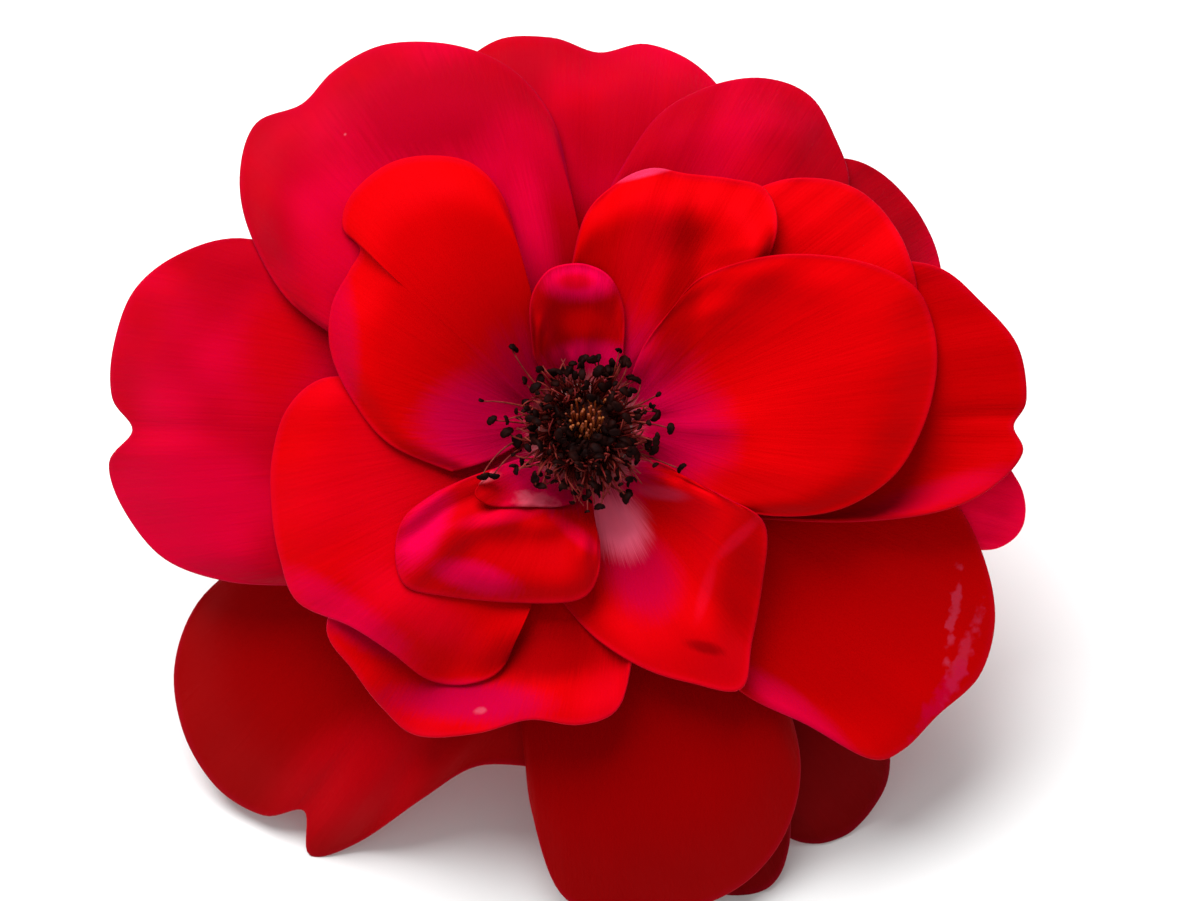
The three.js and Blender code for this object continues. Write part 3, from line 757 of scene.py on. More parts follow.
def dress(piece: bpy.types.Object, material: bpy.types.Material | None, node: str | None) -> None:
    """Gives a piece its finish and its place in the frame.

    Args:
        piece: the piece.
        material: its finish, or None where its faces already have one.
        node: the node of the frame that it stands for, or None where it adds to one.
    """
    if material is not None:
        piece.data.materials.clear()
        piece.data.materials.append(material)
    if node is not None:
        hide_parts(node)
    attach(piece, BODY)
    LOG.info("%s: %d faces", piece.name, len(piece.data.polygons))


def polar(angle: float | np.ndarray, distance: float | np.ndarray) -> np.ndarray:
    """A place from its angle in degrees and its distance from the axis."""
    turn = np.radians(angle)
    return np.stack([np.cos(turn) * distance, np.sin(turn) * distance], -1)


def through(points: np.ndarray, count: int) -> np.ndarray:
    """A smooth curve through given points, at even steps from point to point.

    Args:
        points: the points.
        count: how many places to give.

    Returns:
        The places.
    """
    places = np.linspace(0, len(points) - 1, count)
    first = np.minimum(places.astype(int), len(points) - 2)
    t = (places - first)[:, None]
    last = len(points) - 1
    p0, p1 = points[np.maximum(first - 1, 0)], points[first]
    p2, p3 = points[first + 1], points[np.minimum(first + 2, last)]
    v0, v1 = (p2 - p0) / 2, (p3 - p1) / 2
    return (2 * p1 - 2 * p2 + v0 + v1) * t**3 + (3 * p2 - 3 * p1 - 2 * v0 - v1) * t**2 + v0 * t + p1


@dataclass(frozen=True)
class Petal:
    """One petal: its free rim seen along the axis, its heights and its finish.

    The rim is a row of angles in degrees and distances from the axis in millimetres. A fold has its
    place across the petal, its depth and its width. A dent has its places across and along the
    petal, its depth, its width and its reach.
    """

    name: str
    rim: list[tuple[float, float]]
    rise: float
    belly: float
    curl: float
    tilt: float = 0.0
    cup: float = 0.0
    bend: float = 1.0
    folds: tuple[tuple[float, float, float], ...] = ()
    finish: str = "outer"
    dents: tuple[tuple[float, float, float, float, float], ...] = ()
    ruffle: float = 0.14
    waves: float = 4.0
    thickness: float = 0.3

    COLUMNS_PER_POINT = 8
    ROWS = 44
    ROW_CROWDING = 1.25
    CURL_FROM = 0.7
    RUFFLE_FROM = 0.55
    THIN_SHARE = 0.55
    THIN_REACH = 1.6
    SIDE_RIM = 0.7

    def sheet(self) -> Sheet:
        """Lays the petal's lattice from its narrow claw on the neck out to its rim."""
        angles = [angle for angle, _ in self.rim]
        middle = (angles[0] + angles[-1]) / 2
        corners = np.array([polar(angle, distance) for angle, distance in self.rim])
        count = self.COLUMNS_PER_POINT * (len(self.rim) - 1) + 1
        s = np.linspace(-1, 1, count)[:, None]
        t = (1 - (1 - np.linspace(0, 1, self.ROWS)) ** self.ROW_CROWDING)[None, :]
        edge = through(corners, count)
        claw = polar(middle + s[:, 0] * CLAW_HALF_ANGLE, CLAW_RADIUS)
        ray = edge - claw
        length = np.linalg.norm(ray, axis=1)[:, None]
        bow = SIDE_BOW * s * np.sin(np.pi * t) * min(length[0, 0], length[-1, 0]) / length
        x = claw[:, :1] + ray[:, :1] * t - ray[:, 1:] * bow
        y = claw[:, 1:] + ray[:, 1:] * t + ray[:, :1] * bow
        share = t * length / (max(distance for _, distance in self.rim) - CLAW_RADIUS)
        z = self.height(s, t, share)
        to_side = (1 - np.abs(s)) * length * self.SIDE_RIM
        rim = np.minimum((1 - t) * length, to_side + 0 * t)
        filled = self.THIN_SHARE + (1 - self.THIN_SHARE) * smooth_step(rim, 0, self.THIN_REACH)
        thickness = np.full_like(z, self.thickness) * filled
        return Sheet(x, y, z, t * length, rim, thickness)

    def height(self, s: np.ndarray, t: np.ndarray, share: np.ndarray) -> np.ndarray:
        """The petal's height over each place.

        Args:
            s: the place across the petal, -1 to 1.
            t: the place along it, 0 at its claw to 1.
            share: the distance from the claw, of the petal's longest ray.

        Returns:
            The heights in millimetres.
        """
        rim = self.rise + self.tilt * s + self.cup * s * s
        edge = smooth_step(t, self.CURL_FROM, 1)
        height = CLAW_LEVEL + (rim - CLAW_LEVEL) * share**self.bend
        height = height + self.belly * 4 * share * (1 - share) + self.curl * edge * edge * share
        for at, depth, width in self.folds:
            height = height + depth * np.exp(-(((s - at) / width) ** 2)) * t * t
        for across, along, depth, width, reach in self.dents:
            height = height + depth * np.exp(-(((s - across) / width) ** 2) - ((t - along) / reach) ** 2)
        wave = np.sin(self.waves * np.pi * s + self.rise) + 0.5 * np.sin(2.3 * self.waves * np.pi * s + 2)
        return height + self.ruffle * wave * smooth_step(t, self.RUFFLE_FROM, 1) ** 1.5


PETALS = [
    Petal("petal_outer_right_tip",
          [(-20, 28), (-17, 36), (-15, 38.6), (-12, 39.6), (-8, 39), (-3, 36.5)],
          rise=-1, tilt=0.5, bend=1.3, belly=2, curl=-0.8),
    Petal("petal_outer_right_upper",
          [(12, 29), (19, 32.8), (26, 34.6), (34, 35), (42, 34.3), (48, 32), (53, 27)],
          rise=2, cup=0.5, belly=5, curl=-2),
    # This petal and the next take the finish "deep", whose dark red is painted shade.
    Petal("petal_back_right",
          [(292, 35), (297, 41.5), (302, 43.5), (307, 43), (312, 41), (317, 36), (320, 29)],
          rise=-12.2, cup=-1, bend=1.7, belly=2.5, curl=-1, finish="deep"),
    Petal("petal_back_bottom_tip",
          [(281, 37), (285, 42.6), (290, 44.4), (294, 43.4), (298, 39), (300, 33)],
          rise=-10.3, cup=-0.5, bend=1.7, belly=2, curl=-0.5, finish="deep"),
    Petal("petal_outer_top",
          [(58, 25), (66, 31), (73, 33.6), (81, 34.5), (88, 33.3), (95, 34.8), (103, 35.3), (110, 33), (117, 27)],
          rise=1, cup=-0.5, belly=5.5, curl=-2.5, folds=((0, -0.5, 0.09),)),
    Petal("petal_back_left",
          [(200, 31), (204, 38), (210, 42.8), (217, 45.5), (224, 46.5), (230, 45.4), (233.5, 42.6),
           (237, 45.8), (241, 42.5), (246, 36), (252, 31.4), (262, 30.2)],
          rise=-11.5, tilt=0.5, bend=1.7, belly=3, curl=-1.5, folds=((0.45, -1.5, 0.1),), finish="back"),
    Petal("petal_back_bottom",
          [(259, 28), (262, 34), (267, 41.5), (274, 43.7), (282, 44), (290, 42.8), (297, 39.8),
           (303, 35), (308, 28)],
          rise=-7.5, cup=-1, bend=1.7, belly=3.5, curl=-1, finish="back"),
    Petal("petal_outer_right_lower",
          [(296, 20), (301, 26.9), (307, 32.4), (311, 38.5), (315, 40), (321, 40.2), (328, 41.2),
           (335, 40), (342, 37), (349, 33), (355, 27)],
          rise=-5, tilt=1.5, cup=1.5, bend=1.4, belly=3, curl=1,
          dents=((-0.6, 1, 1.5, 0.3, 0.14),), finish="scarred"),
    Petal("petal_outer_left",
          [(147, 27), (151, 34.6), (157, 39.2), (163, 41.8), (170, 42.4), (176, 42), (180, 40),
           (184, 42.3), (190, 41.4), (197, 38.8), (203, 34), (209, 28)],
          rise=-1, tilt=-1, cup=0.5, belly=5.5, curl=-1.5),
    Petal("petal_outer_top_right",
          [(36, 27), (43, 31.5), (49, 33.6), (56, 35.4), (63, 34.7), (70, 32), (77, 28), (83, 22)],
          rise=3, belly=5, curl=-2.5),
    Petal("petal_outer_right",
          [(-27, 17), (-19, 24.5), (-13, 31.5), (-8, 35.8), (-3, 38.2), (0.5, 37.4), (4, 38.6),
           (11, 38.4), (18, 36.2), (25, 33.6), (32, 28)],
          rise=3.5, tilt=1.5, cup=1, belly=2, curl=0.3,
          dents=((-0.55, 1, 2.2, 0.35, 0.12),), finish="right"),
    Petal("petal_outer_top_left",
          [(92, 16), (94, 22), (96, 27), (100, 31), (105, 34), (111, 36.4), (118, 38.3), (125, 38.6),
           (131, 38), (137, 39.7), (143, 38), (149, 34.4), (156, 28.5), (160, 22)],
          rise=2, tilt=-0.5, cup=0.5, belly=7, curl=-2.5, folds=((0.45, -0.5, 0.08),)),
    Petal("petal_middle_bottom",
          [(212, 25), (218, 28.6), (226, 29.2), (234, 30.2), (241, 30.6), (250, 28.2), (259, 25.7),
           (269, 25.7), (277, 24.3), (283, 19)],
          rise=1, cup=1, belly=2.5, curl=1.8,
          folds=((-0.25, -1.6, 0.22), (0.3, 1.6, 0.22)), finish="middle"),
    Petal("petal_middle_left",
          [(166, 18), (169, 23.2), (176, 26), (185, 27.4), (194, 28.2), (203, 28.9), (211, 29.2),
           (220, 26.6), (229, 25.7), (238, 25.8), (245.5, 24.4), (251, 21.6), (250.5, 15.4)],
          rise=4.5, tilt=-1.5, cup=-0.5, belly=4, curl=-1.5, folds=((0.35, 1.6, 0.2),),
          dents=((0.05, 1, 1.2, 0.3, 0.14), (0.5, 0.95, -2.2, 0.25, 0.3),), finish="middle"),
    Petal("petal_middle_top_right",
          [(12, 26), (20, 30.6), (29, 32), (37, 32.2), (44, 31), (51, 28), (57, 24)],
          rise=6, cup=0.5, belly=4, curl=-2.5, finish="middle"),
    Petal("petal_inner_top",
          [(40, 19), (46, 23.8), (53, 26), (60, 25.1), (68, 23.9), (76, 23.3), (83, 21.4),
           (90, 18.4), (96, 13)],
          rise=11, tilt=-1, bend=1.2, belly=3, curl=-3.5,
          folds=((-0.75, 1, 0.15),),
          dents=((-0.3, 0.65, -2.5, 0.35, 0.3),), finish="inner"),
    Petal("petal_inner_right",
          [(-33, 10), (-26, 16.6), (-18, 22.6), (-9, 26.8), (0, 29.2), (9, 30.9), (17, 31.6),
           (24, 31), (32, 27.6), (42, 22.4), (52, 16.9), (54, 13)],
          rise=7.5, tilt=-1, cup=1, belly=5, curl=-2,
          dents=((0.72, 0.85, -1.6, 0.2, 0.3),), finish="inner"),
    Petal("petal_inner_left",
          [(117, 8.7), (111.5, 14.5), (109.5, 21), (113, 25), (120, 27.4), (127, 28.7), (135, 28.7),
           (140, 27.4), (141, 25), (146, 24.6), (154, 24.4), (163, 23), (173, 20.2), (184, 17),
           (197, 12.2)],
          rise=7.5, tilt=-1, cup=1, belly=5, curl=-3, finish="inner"),
    Petal("petal_middle_right",
          [(262, 15), (273, 18.2), (284, 21.4), (293, 24), (301, 26.4), (308, 23.6), (319, 20.4),
           (332, 17.6), (334, 13.6), (334, 10)],
          rise=5, tilt=2.5, cup=1, belly=1, curl=-1.2,
          folds=((0.45, 1.2, 0.14), (0.1, -0.8, 0.14)),
          dents=((-0.13, 0.72, 0.8, 0.16, 0.12), (0.25, 0.7, 1.2, 0.25, 0.13), (0.6, 0.85, 0.8, 0.15, 0.15)),
          finish="fan"),
    Petal("petal_small_left",
          [(203, 14), (206, 17.4), (213, 19.6), (221, 20.6), (230, 18.8), (244, 16.6), (261, 15.2),
           (270, 14.4), (275, 12.6), (277, 10), (275, 7.8)],
          rise=4, cup=0.5, bend=0.8, belly=4.5, curl=-1.5,
          folds=((-0.65, -2, 0.1), (-0.4, 1.2, 0.1)),
          dents=((-0.53, 0.65, 1.3, 0.14, 0.14), (-0.25, 0.4, 1.6, 0.18, 0.12), (0.08, 0.38, 1.6, 0.17, 0.12),
                 (0.42, 0.62, 1.3, 0.16, 0.16)), finish="small"),
    Petal("petal_small_bottom",
          [(204, 9), (210, 11), (219, 10.4), (232, 8.4), (248, 7.2), (262, 6.4)],
          rise=6.5, tilt=-0.5, belly=0.5, curl=-0.5, finish="hollow", ruffle=0.1),
    Petal("petal_small_top",
          [(64, 7.4), (72, 10.8), (80, 13.2), (88, 14.2), (96, 14.4), (104, 14), (113, 12), (124, 8)],
          rise=6, cup=0.5, belly=0, curl=0,
          dents=((0, 0.35, -1.5, 0.9, 0.25), (0, 0.85, 1.2, 0.9, 0.22)), finish="small"),
]


@dataclass
class Corolla:
    """All the petals, from the back of the flower to the front."""

    place: BloomPlace
    heights: HeightMap
    gap: float = 0.16
    edge: float = 0.1

    def finishes(self) -> dict[str, PetalFinish]:
        """The finish of each group of petals."""
        return {
            # The outer petals face the sky and carry the most painted sheen.
            "outer": PetalFinish("petal_skin_outer", painted_sheen_share=1.0, red=(0.33, 0.0, 0.005, 1), sheen=0.08, spots=(
                # Painted light: a brighter pink strip where the petals around it shade this one.
                Spot((-4.4, 13.0), (12.0, 2.8), (0.72, 0.0, 0.035, 1), 95, 0.9),
                # Painted shade: darker patches on the upper petals where they face the lamp.
                Spot((-13.0, 28.0), (12.0, 7.0), (0.27, 0.0, 0.005, 1), 20, 0.8),
                Spot((23.5, 21.0), (14.0, 6.5), (0.25, 0.0, 0.002, 1), -45, 0.8),
                Spot((-36.0, -7.0), (9.0, 8.0), (0.48, 0.0, 0.02, 1), 0, 0.8),
                Spot((-27.0, 7.0), (4.5, 7.0), (0.42, 0.0, 0.0, 1), 0, 0.8),
                # Painted light: the right tip petal made brighter against the shadow of the petal over it.
                Spot((37.5, -10.0), (9.0, 8.0), (1.0, 0.0, 0.045, 1), 0, 0.95, 0.1),
            )),
            "right": PetalFinish("petal_skin_right", red=(0.42, 0.0, 0.0, 1), painted_sheen_share=0.1, sheen=0.03, spots=(
                # Painted sheen: a pinkish tint on the turned-up lower margin.
                Spot((30.6, -5.6), (9.0, 1.5), (0.42, 0.0, 0.02, 1), 17, 0.6),
            )),
            # Painted shade: the back petals, shaded by the petals above them, get a darker red.
            "back": PetalFinish("petal_skin_back", painted_sheen_share=0.0, sheen=0.0, red=(0.29, 0.0, 0.0, 1),
                                deep=(0.26, 0.0, 0.0, 1), spots=(
                Spot((-20.3, -31.0), (12.0, 6.5), (0.44, 0.0, 0.003, 1), 35, 0.85, 0.1),
            )),
            # Painted shade: the backmost petals, deepest in the flower's shadow, get a much darker red.
            "deep": PetalFinish("petal_skin_deep", red=(0.17, 0.0, 0.0, 1), deep=(0.13, 0.0, 0.0, 1),
                                painted_sheen_share=0.0, sheen=0.0),
            "scarred": PetalFinish("petal_skin_scarred", painted_sheen_share=0.0, sheen=0.02, red=(0.46, 0.0, 0.0, 1), spots=(
                # Painted highlight: the pink lower rim, turned up to catch the light.
                Spot((18.6, -25.0), (9.0, 1.7), PAINTED_SHEEN_PINK, -39, 0.45),
                Spot((32.6, -16.6), (4.0, 0.5), (0.52, 0.05, 0.11, 1), 84, 0.4, 0.9),
                Spot((33.4, -20.4), (4.5, 0.8), (0.48, 0.03, 0.08, 1), 70, 0.4, 0.9),
                Spot((31.6, -24.0), (4.5, 1.0), (0.5, 0.0, 0.05, 1), 58, 0.4, 0.7),
            )),
            "middle": PetalFinish("petal_skin_middle", painted_sheen_share=0.15, sheen=0.05, spots=(
                # Painted highlight: pink along the turned-up fold of the left middle petal.
                Spot((-20.7, -16.2), (8.0, 2.2), PAINTED_SHEEN_PINK, -32, 0.45),
                # Painted sheen: the pinkish, dimmed rim of the bottom middle petal.
                Spot((-10.5, -23.8), (8.0, 2.2), (0.38, 0.0, 0.035, 1), -2, 0.8),
                Spot((-9.2, -24.6), (0.8, 0.35), WHITISH, 10, 0.1, 0.5),
                # Painted shade: the bottom middle petal, darker where the petals above shade it.
                Spot((-3.5, -19.5), (8.0, 3.0), (0.28, 0.0, 0.0, 1), 5, 0.85),
                Spot((-15.0, -15.5), (8.0, 3.0), (0.62, 0.0, 0.01, 1), -32, 0.5),
            )),
            "inner": PetalFinish("petal_skin_inner", painted_sheen_share=0.0, sheen=0.02, claw_reach=0.8, spots=(
                Spot((8.6, -0.6), (5.5, 5.0), (0.44, 0.0, 0.035, 1), 0, 0.75),
                Spot((-10.0, 0.5), (6.0, 5.0), (0.5, 0.0, 0.045, 1), 0, 0.8),
                # Painted highlight: the pale crescent on the top inner petal's rim.
                Spot((5.4, 22.4), (4.6, 0.5), (0.7, 0.03, 0.1, 1), 14, 0.8, 0.05),
                # Painted sheen: the pinkish band along the left inner petal's lower rim.
                Spot((-21.0, 8.0), (8.0, 1.6), (0.44, 0.0, 0.03, 1), 95, 0.5),
                # Painted shade: the dark valley of the top inner petal and the shadow beneath its fold, in three spots.
                Spot((8.2, 12.0), (9.0, 2.3), (0.29, 0.0, 0.0, 1), 85, 0.75),
                Spot((8.0, 17.0), (3.4, 2.8), (0.25, 0.0, 0.0, 1), 0, 0.6),
                Spot((13.4, 14.8), (3.8, 1.1), (0.3, 0.0, 0.0, 1), 5, 0.5),
                # Painted shade: the right inner petal's darker lower margin.
                Spot((17.0, -5.4), (9.0, 2.6), (0.37, 0.0, 0.0, 1), -8, 0.85),
                # Painted light: a brighter zone on the top inner petal, which tilts away from the lamp.
                Spot((5.0, 15.0), (7.0, 3.2), (0.7, 0.0, 0.004, 1), 70, 0.6),
                Spot((23.5, -2.0), (7.5, 9.0), (0.43, 0.0, 0.0, 1), 0, 0.7),
                # Painted light: a brighter zone on the right inner petal's upper part.
                Spot((18.6, 11.6), (6.5, 3.0), (0.62, 0.0, 0.001, 1), 15, 0.5),
            )),
            "fan": PetalFinish("petal_skin_fan", painted_sheen_share=0.1, sheen=0.05, claw_reach=1.2, halo_reach=5.0, spots=(
                Spot((4.8, -12.6), (5.0, 3.6), (0.46, 0.0, 0.03, 1), -60, 0.85),
                # Painted shade: the darker right part beyond the fold.
                Spot((13.8, -13.0), (6.5, 3.0), (0.36, 0.0, 0.0, 1), 82, 0.8),
                # Painted highlights along the fold's ridge, in two spots.
                Spot((13.3, -9.4), (3.4, 0.7), (0.62, 0.004, 0.02, 1), 44, 0.4, 0.1),
                Spot((10.5, -14.2), (3.2, 0.7), (0.62, 0.004, 0.02, 1), 74, 0.35, 0.1),
                # Painted shade: a dark crumple.
                Spot((10.4, -19.0), (2.2, 0.7), (0.22, 0.0, 0.0, 1), -15, 0.7),
                # The pale fan at the base is the petal's own colour, made brighter as painted light against the
                # stamens' shadow.
                Spot((2.8, -8.3), (3.9, 3.0), (1.0, 0.15, 0.26, 1), -55, 0.9, 0.3),
                Spot((6.6, -5.5), (2.8, 0.8), (0.56, 0.03, 0.09, 1), -10, 0.5, 0.2),
            )),
            "hollow": PetalFinish("petal_skin_hollow", painted_sheen_share=0.0, sheen=0.0, claw_reach=0.6, spots=(
                # Painted shade: the dark hollow at the left of the petal.
                Spot((-9.0, -5.8), (3.4, 2.2), (0.3, 0.0, 0.0, 1), 20, 0.9),
                Spot((-4.4, -6.4), (2.6, 1.1), (0.6, 0.1, 0.15, 1), -10, 0.55, 0.5),
                Spot((-9.2, -4.2), (2.0, 0.6), (0.6, 0.12, 0.16, 1), 10, 0.6),
            )),
            "small": PetalFinish("petal_skin_small", painted_sheen_share=0.1, sheen=0.05, claw_reach=1.0, halo_reach=4.0,
                                 red=(0.44, 0.0, 0.0005, 1), spots=(
                # Painted highlight: the pink left flap of the small left petal, brightened against the shade of its
                # fold.
                Spot((-14.0, -8.6), (4.6, 2.2), (0.6, 0.0, 0.05, 1), 60, 0.85),
                # Painted sheen: pink on the crinkles of its lower edge.
                Spot((-9.6, -12.8), (4.6, 1.5), PAINTED_SHEEN_PINK, -15, 0.6, 0.3),
                # Painted highlights along its crest, in two spots.
                Spot((-7.5, -7.6), (4.5, 0.9), (0.62, 0.0, 0.03, 1), 10, 0.5, 0.1),
                Spot((-0.6, -9.2), (3.2, 0.9), (0.62, 0.0, 0.03, 1), -38, 0.45, 0.1),
                # Painted highlight: the pink top of the small top petal's roll.
                Spot((-0.4, 12.9), (3.9, 2.0), (0.95, 0.0, 0.08, 1), 0, 0.9),
                # Painted light: the roll's red middle, made brighter where little light reaches.
                Spot((-0.8, 12.9), (2.2, 1.0), (0.8, 0.0, 0.004, 1), 0, 0.85),
                # Painted light: the band under the roll, made brighter than its shade.
                Spot((-0.2, 9.4), (3.6, 1.7), (0.6, 0.0, 0.0, 1), 0, 0.8),
                # The roll's base: partly the petal's own pink, partly painted light.
                Spot((0.4, 6.4), (4.4, 1.8), (0.72, 0.0, 0.07, 1), 0, 0.9),
            )),
        }

    def build(self) -> None:
        """Makes, stacks and dresses the petals."""
        finishes = {key: finish.material() for key, finish in self.finishes().items()}
        for petal in PETALS:
            sheet = petal.sheet()
            sheet.settle(self.heights, self.gap)
            piece = sheet.mesh(petal.name + "_skin", self.place, self.edge)
            dress(piece, finishes[petal.finish], petal.name)


@dataclass
class Calyx:
    """The five sepals, the hip with its neck, and the stalk."""

    place: BloomPlace
    heights: HeightMap
    sepal_count: int = 5
    sepal_length: float = 19.0
    sepal_half_width: float = 3.6
    sepal_level: float = -5.4
    sepal_drop: float = 9.0
    first_sepal: float = 54.0
    hip_radius: float = 4.7
    hip_bottom: float = -11.0
    stalk_radius: float = 1.8
    stalk_end_radius: float = 2.3
    stalk_bow: float = 2.2
    neck_bottom: float = -6.3
    sepal_gap: float = 0.2
    sepal_edge: float = 0.05
    sepal_thickness: float = 0.45

    SEPAL_ACROSS = 25
    SEPAL_ALONG = 61
    SIDES = 60
    BULGE_RINGS = 33
    NECK_RINGS = 14
    STALK_RINGS = 49
    COLLAR = (
        (3.95, 3.62), (4.02, 3.72), (4.0, 3.84), (3.85, 3.95), (3.5, 4.05), (3.2, 4.15),
        (2.8, NECK_TOP), (1.4, NECK_TOP + 0.02),
    )
    CUT_DEPTH = 0.03
    BRISTLES = {"Density": 9e5, "Seed": 4, "Least size": 0.6, "Most size": 1.25}
    BRISTLE_PROFILE = ((0.05, -0.05), (0.035, 0.2), (0.03, 0.45), (0.07, 0.5), (0.08, 0.56), (0.05, 0.62))
    BRISTLE_ENDS = (-0.06, 0.64)
    BRISTLE_SIDES = 5

    def sepal(self, turn: float) -> Sheet:
        """The lattice of one sepal, a lance-shaped blade bent back below the petals.

        Args:
            turn: its angle round the axis.

        Returns:
            The sheet.
        """
        s = np.linspace(-1, 1, self.SEPAL_ACROSS)[:, None]
        t = np.linspace(0, 1, self.SEPAL_ALONG)[None, :]
        swell = np.sin(np.pi * (0.2 + 0.77 * t**0.8)) * (1 - 0.3 * t)
        half_width = self.sepal_half_width * swell * (0.55 + 0.45 * t**0.3)
        fringe = 1 + 0.05 * np.sin(60 * t + 9 * s) * smooth_step(np.abs(s), 0.6, 1) * np.ones_like(s)
        away = CLAW_RADIUS + t * self.sepal_length + 0 * s
        across = s * half_width * fringe
        angle = math.radians(turn)
        x = away * math.cos(angle) - across * math.sin(angle)
        y = away * math.sin(angle) + across * math.cos(angle)
        z = self.sepal_level - self.sepal_drop * t**1.3 + 0.9 * s * s * (1 - t)
        z = z - 0.25 * np.exp(-((s / 0.12) ** 2)) * (1 - t)
        rim = (1 - np.abs(s)) * half_width
        thickness = np.full_like(z, self.sepal_thickness) * (0.5 + 0.5 * smooth_step(rim, 0, 1.0))
        return Sheet(x, y, z, away - CLAW_RADIUS, rim, thickness)

    def round_piece(self, name: str, rings: list[tuple[float, float, float]], ridges: float) -> bpy.types.Object:
        """Makes a closed round body about the bloom's axis.

        Args:
            name: the piece's name.
            rings: radius, height and sideways shift of each ring, from the bottom up.
            ridges: how far the rounded ridges, one to a sepal, stand out, in millimetres.

        Returns:
            The piece.
        """
        turn = np.linspace(0, 2 * math.pi, self.SIDES, endpoint=False)
        points, uv = [], []
        for k, (radius, height, shift) in enumerate(rings):
            ridge = ridges * min(1.0, radius / NECK_RADIUS)
            swell = radius + ridge * np.cos(self.sepal_count * (turn - math.radians(self.first_sepal)))
            swell = swell + 0.05 * np.sin(7 * turn + 0.9 * height)
            ring = np.stack([swell * np.cos(turn) + shift, swell * np.sin(turn), np.full(self.SIDES, height)], 1)
            points.append(ring)
            uv.append(np.stack([turn / (2 * math.pi), np.full(self.SIDES, k / len(rings))], 1))
        faces = ring_faces(len(rings), self.SIDES)
        middles = [np.array([[shift, 0, height]]) for _, height, shift in (rings[0], rings[-1])]
        total = len(rings) * self.SIDES
        for n in range(self.SIDES):
            after = (n + 1) % self.SIDES
            faces.append((total, after, n))
            faces.append((total + 1, total - self.SIDES + n, total - self.SIDES + after))
        mesh = bpy.data.meshes.new(name)
        local = np.concatenate(points + middles)
        mesh.from_pydata(self.place.world(local).tolist(), [], faces)
        write_attribute(mesh, Given.PLACE, local)
        write_uv(mesh, np.concatenate(uv + [np.array([[0.5, 0.0], [0.5, 1.0]])]))
        return finished(name, mesh)

    def hip(self) -> bpy.types.Object:
        """The rounded hip and the neck above it, on which sepals and petals are joined."""
        bulge = np.array([
            (self.stalk_radius + 0.3, self.hip_bottom),
            (self.hip_radius * 0.8, self.hip_bottom + 0.9),
            (self.hip_radius, self.hip_bottom + 2.6),
            (NECK_RADIUS + 0.3, self.hip_bottom + 4.1),
            (NECK_RADIUS, self.neck_bottom),
        ])
        rings = [(radius, height, 0.0) for radius, height in through(bulge, self.BULGE_RINGS)]
        neck = np.linspace(self.neck_bottom + 0.5, NECK_TOP - 0.6, self.NECK_RINGS)
        rings += [(NECK_RADIUS, float(height), 0.0) for height in neck]
        rings += [(radius, height, 0.0) for radius, height in self.COLLAR]
        return self.round_piece("hip_skin", rings, 0.12)

    def stalk(self) -> bpy.types.Object:
        """The short bowed stalk, from its flat cut end into the hip."""
        end = self.place.lowest("stalk")
        top = self.hip_bottom + 0.15
        widths = np.array([
            (self.stalk_end_radius, 0.0), (self.stalk_radius * 1.1, 0.15), (self.stalk_radius, 0.45),
            (self.stalk_radius, 0.8), (self.stalk_radius + 0.3, 1.0),
        ])
        rings = []
        for t in np.linspace(0, 1, self.STALK_RINGS):
            radius = float(np.interp(t, widths[:, 1], widths[:, 0]))
            shift = self.stalk_bow * (1 - t) ** 2
            rings.append((radius, end + (top - end) * float(t), shift))
        first = rings[0]
        cut = [(first[0] * 0.45, end, first[2]), (first[0] * 0.93, end, first[2])]
        return self.round_piece("stalk_skin", cut + [(first[0], end + 0.12, first[2])] + rings[1:], 0.03)

    def build(self) -> None:
        """Makes and dresses the sepals, the hip and the stalk with its bristles."""
        leaf = GreenFinish("sepal_skin", flush_share=0.12).material()
        for k in range(self.sepal_count):
            sheet = self.sepal(self.first_sepal + 360 / self.sepal_count * k)
            sheet.settle(self.heights, self.sepal_gap)
            name = f"sepal_{k + 1}"
            dress(sheet.mesh(name + "_skin", self.place, self.sepal_edge), leaf, name)
        waxy = GreenFinish("hip_wax", flush_share=0.5, ribs=14.0, crown_level=-8.4)
        hip, stalk = self.hip(), self.stalk()
        dress(hip, waxy.material(), "hip")
        dress(stalk, GreenFinish("stalk_wax", flush_share=0.45, ribs=20.0).material(), "stalk")
        self.show_pith(stalk)
        bristles = BristleTree().grown(stalk, self.bristle(), self.BRISTLES)
        shaft = GrainFinish("bristle_wax", (0.3, 0.1, 0.05, 1), (0.5, 0.2, 0.1, 1)).material()
        dress(finished("stalk_bristles", bristles), shaft, None)

    def show_pith(self, stalk: bpy.types.Object) -> None:
        """Puts the pale pith on the faces of the stalk's cut end.

        Args:
            stalk: the stalk's piece.
        """
        pith = GrainFinish("stalk_pith", (0.3, 0.32, 0.12, 1), (0.55, 0.55, 0.3, 1), scale=2.5).material()
        stalk.data.materials.append(pith)
        floor = self.place.lowest("stalk")
        back = np.array(self.place.turn.inverted().to_3x3())
        for face in stalk.data.polygons:
            centre = back @ (np.array(face.center) - np.array(self.place.origin)) / MM
            if centre[2] < floor + self.CUT_DEPTH:
                face.material_index = 1

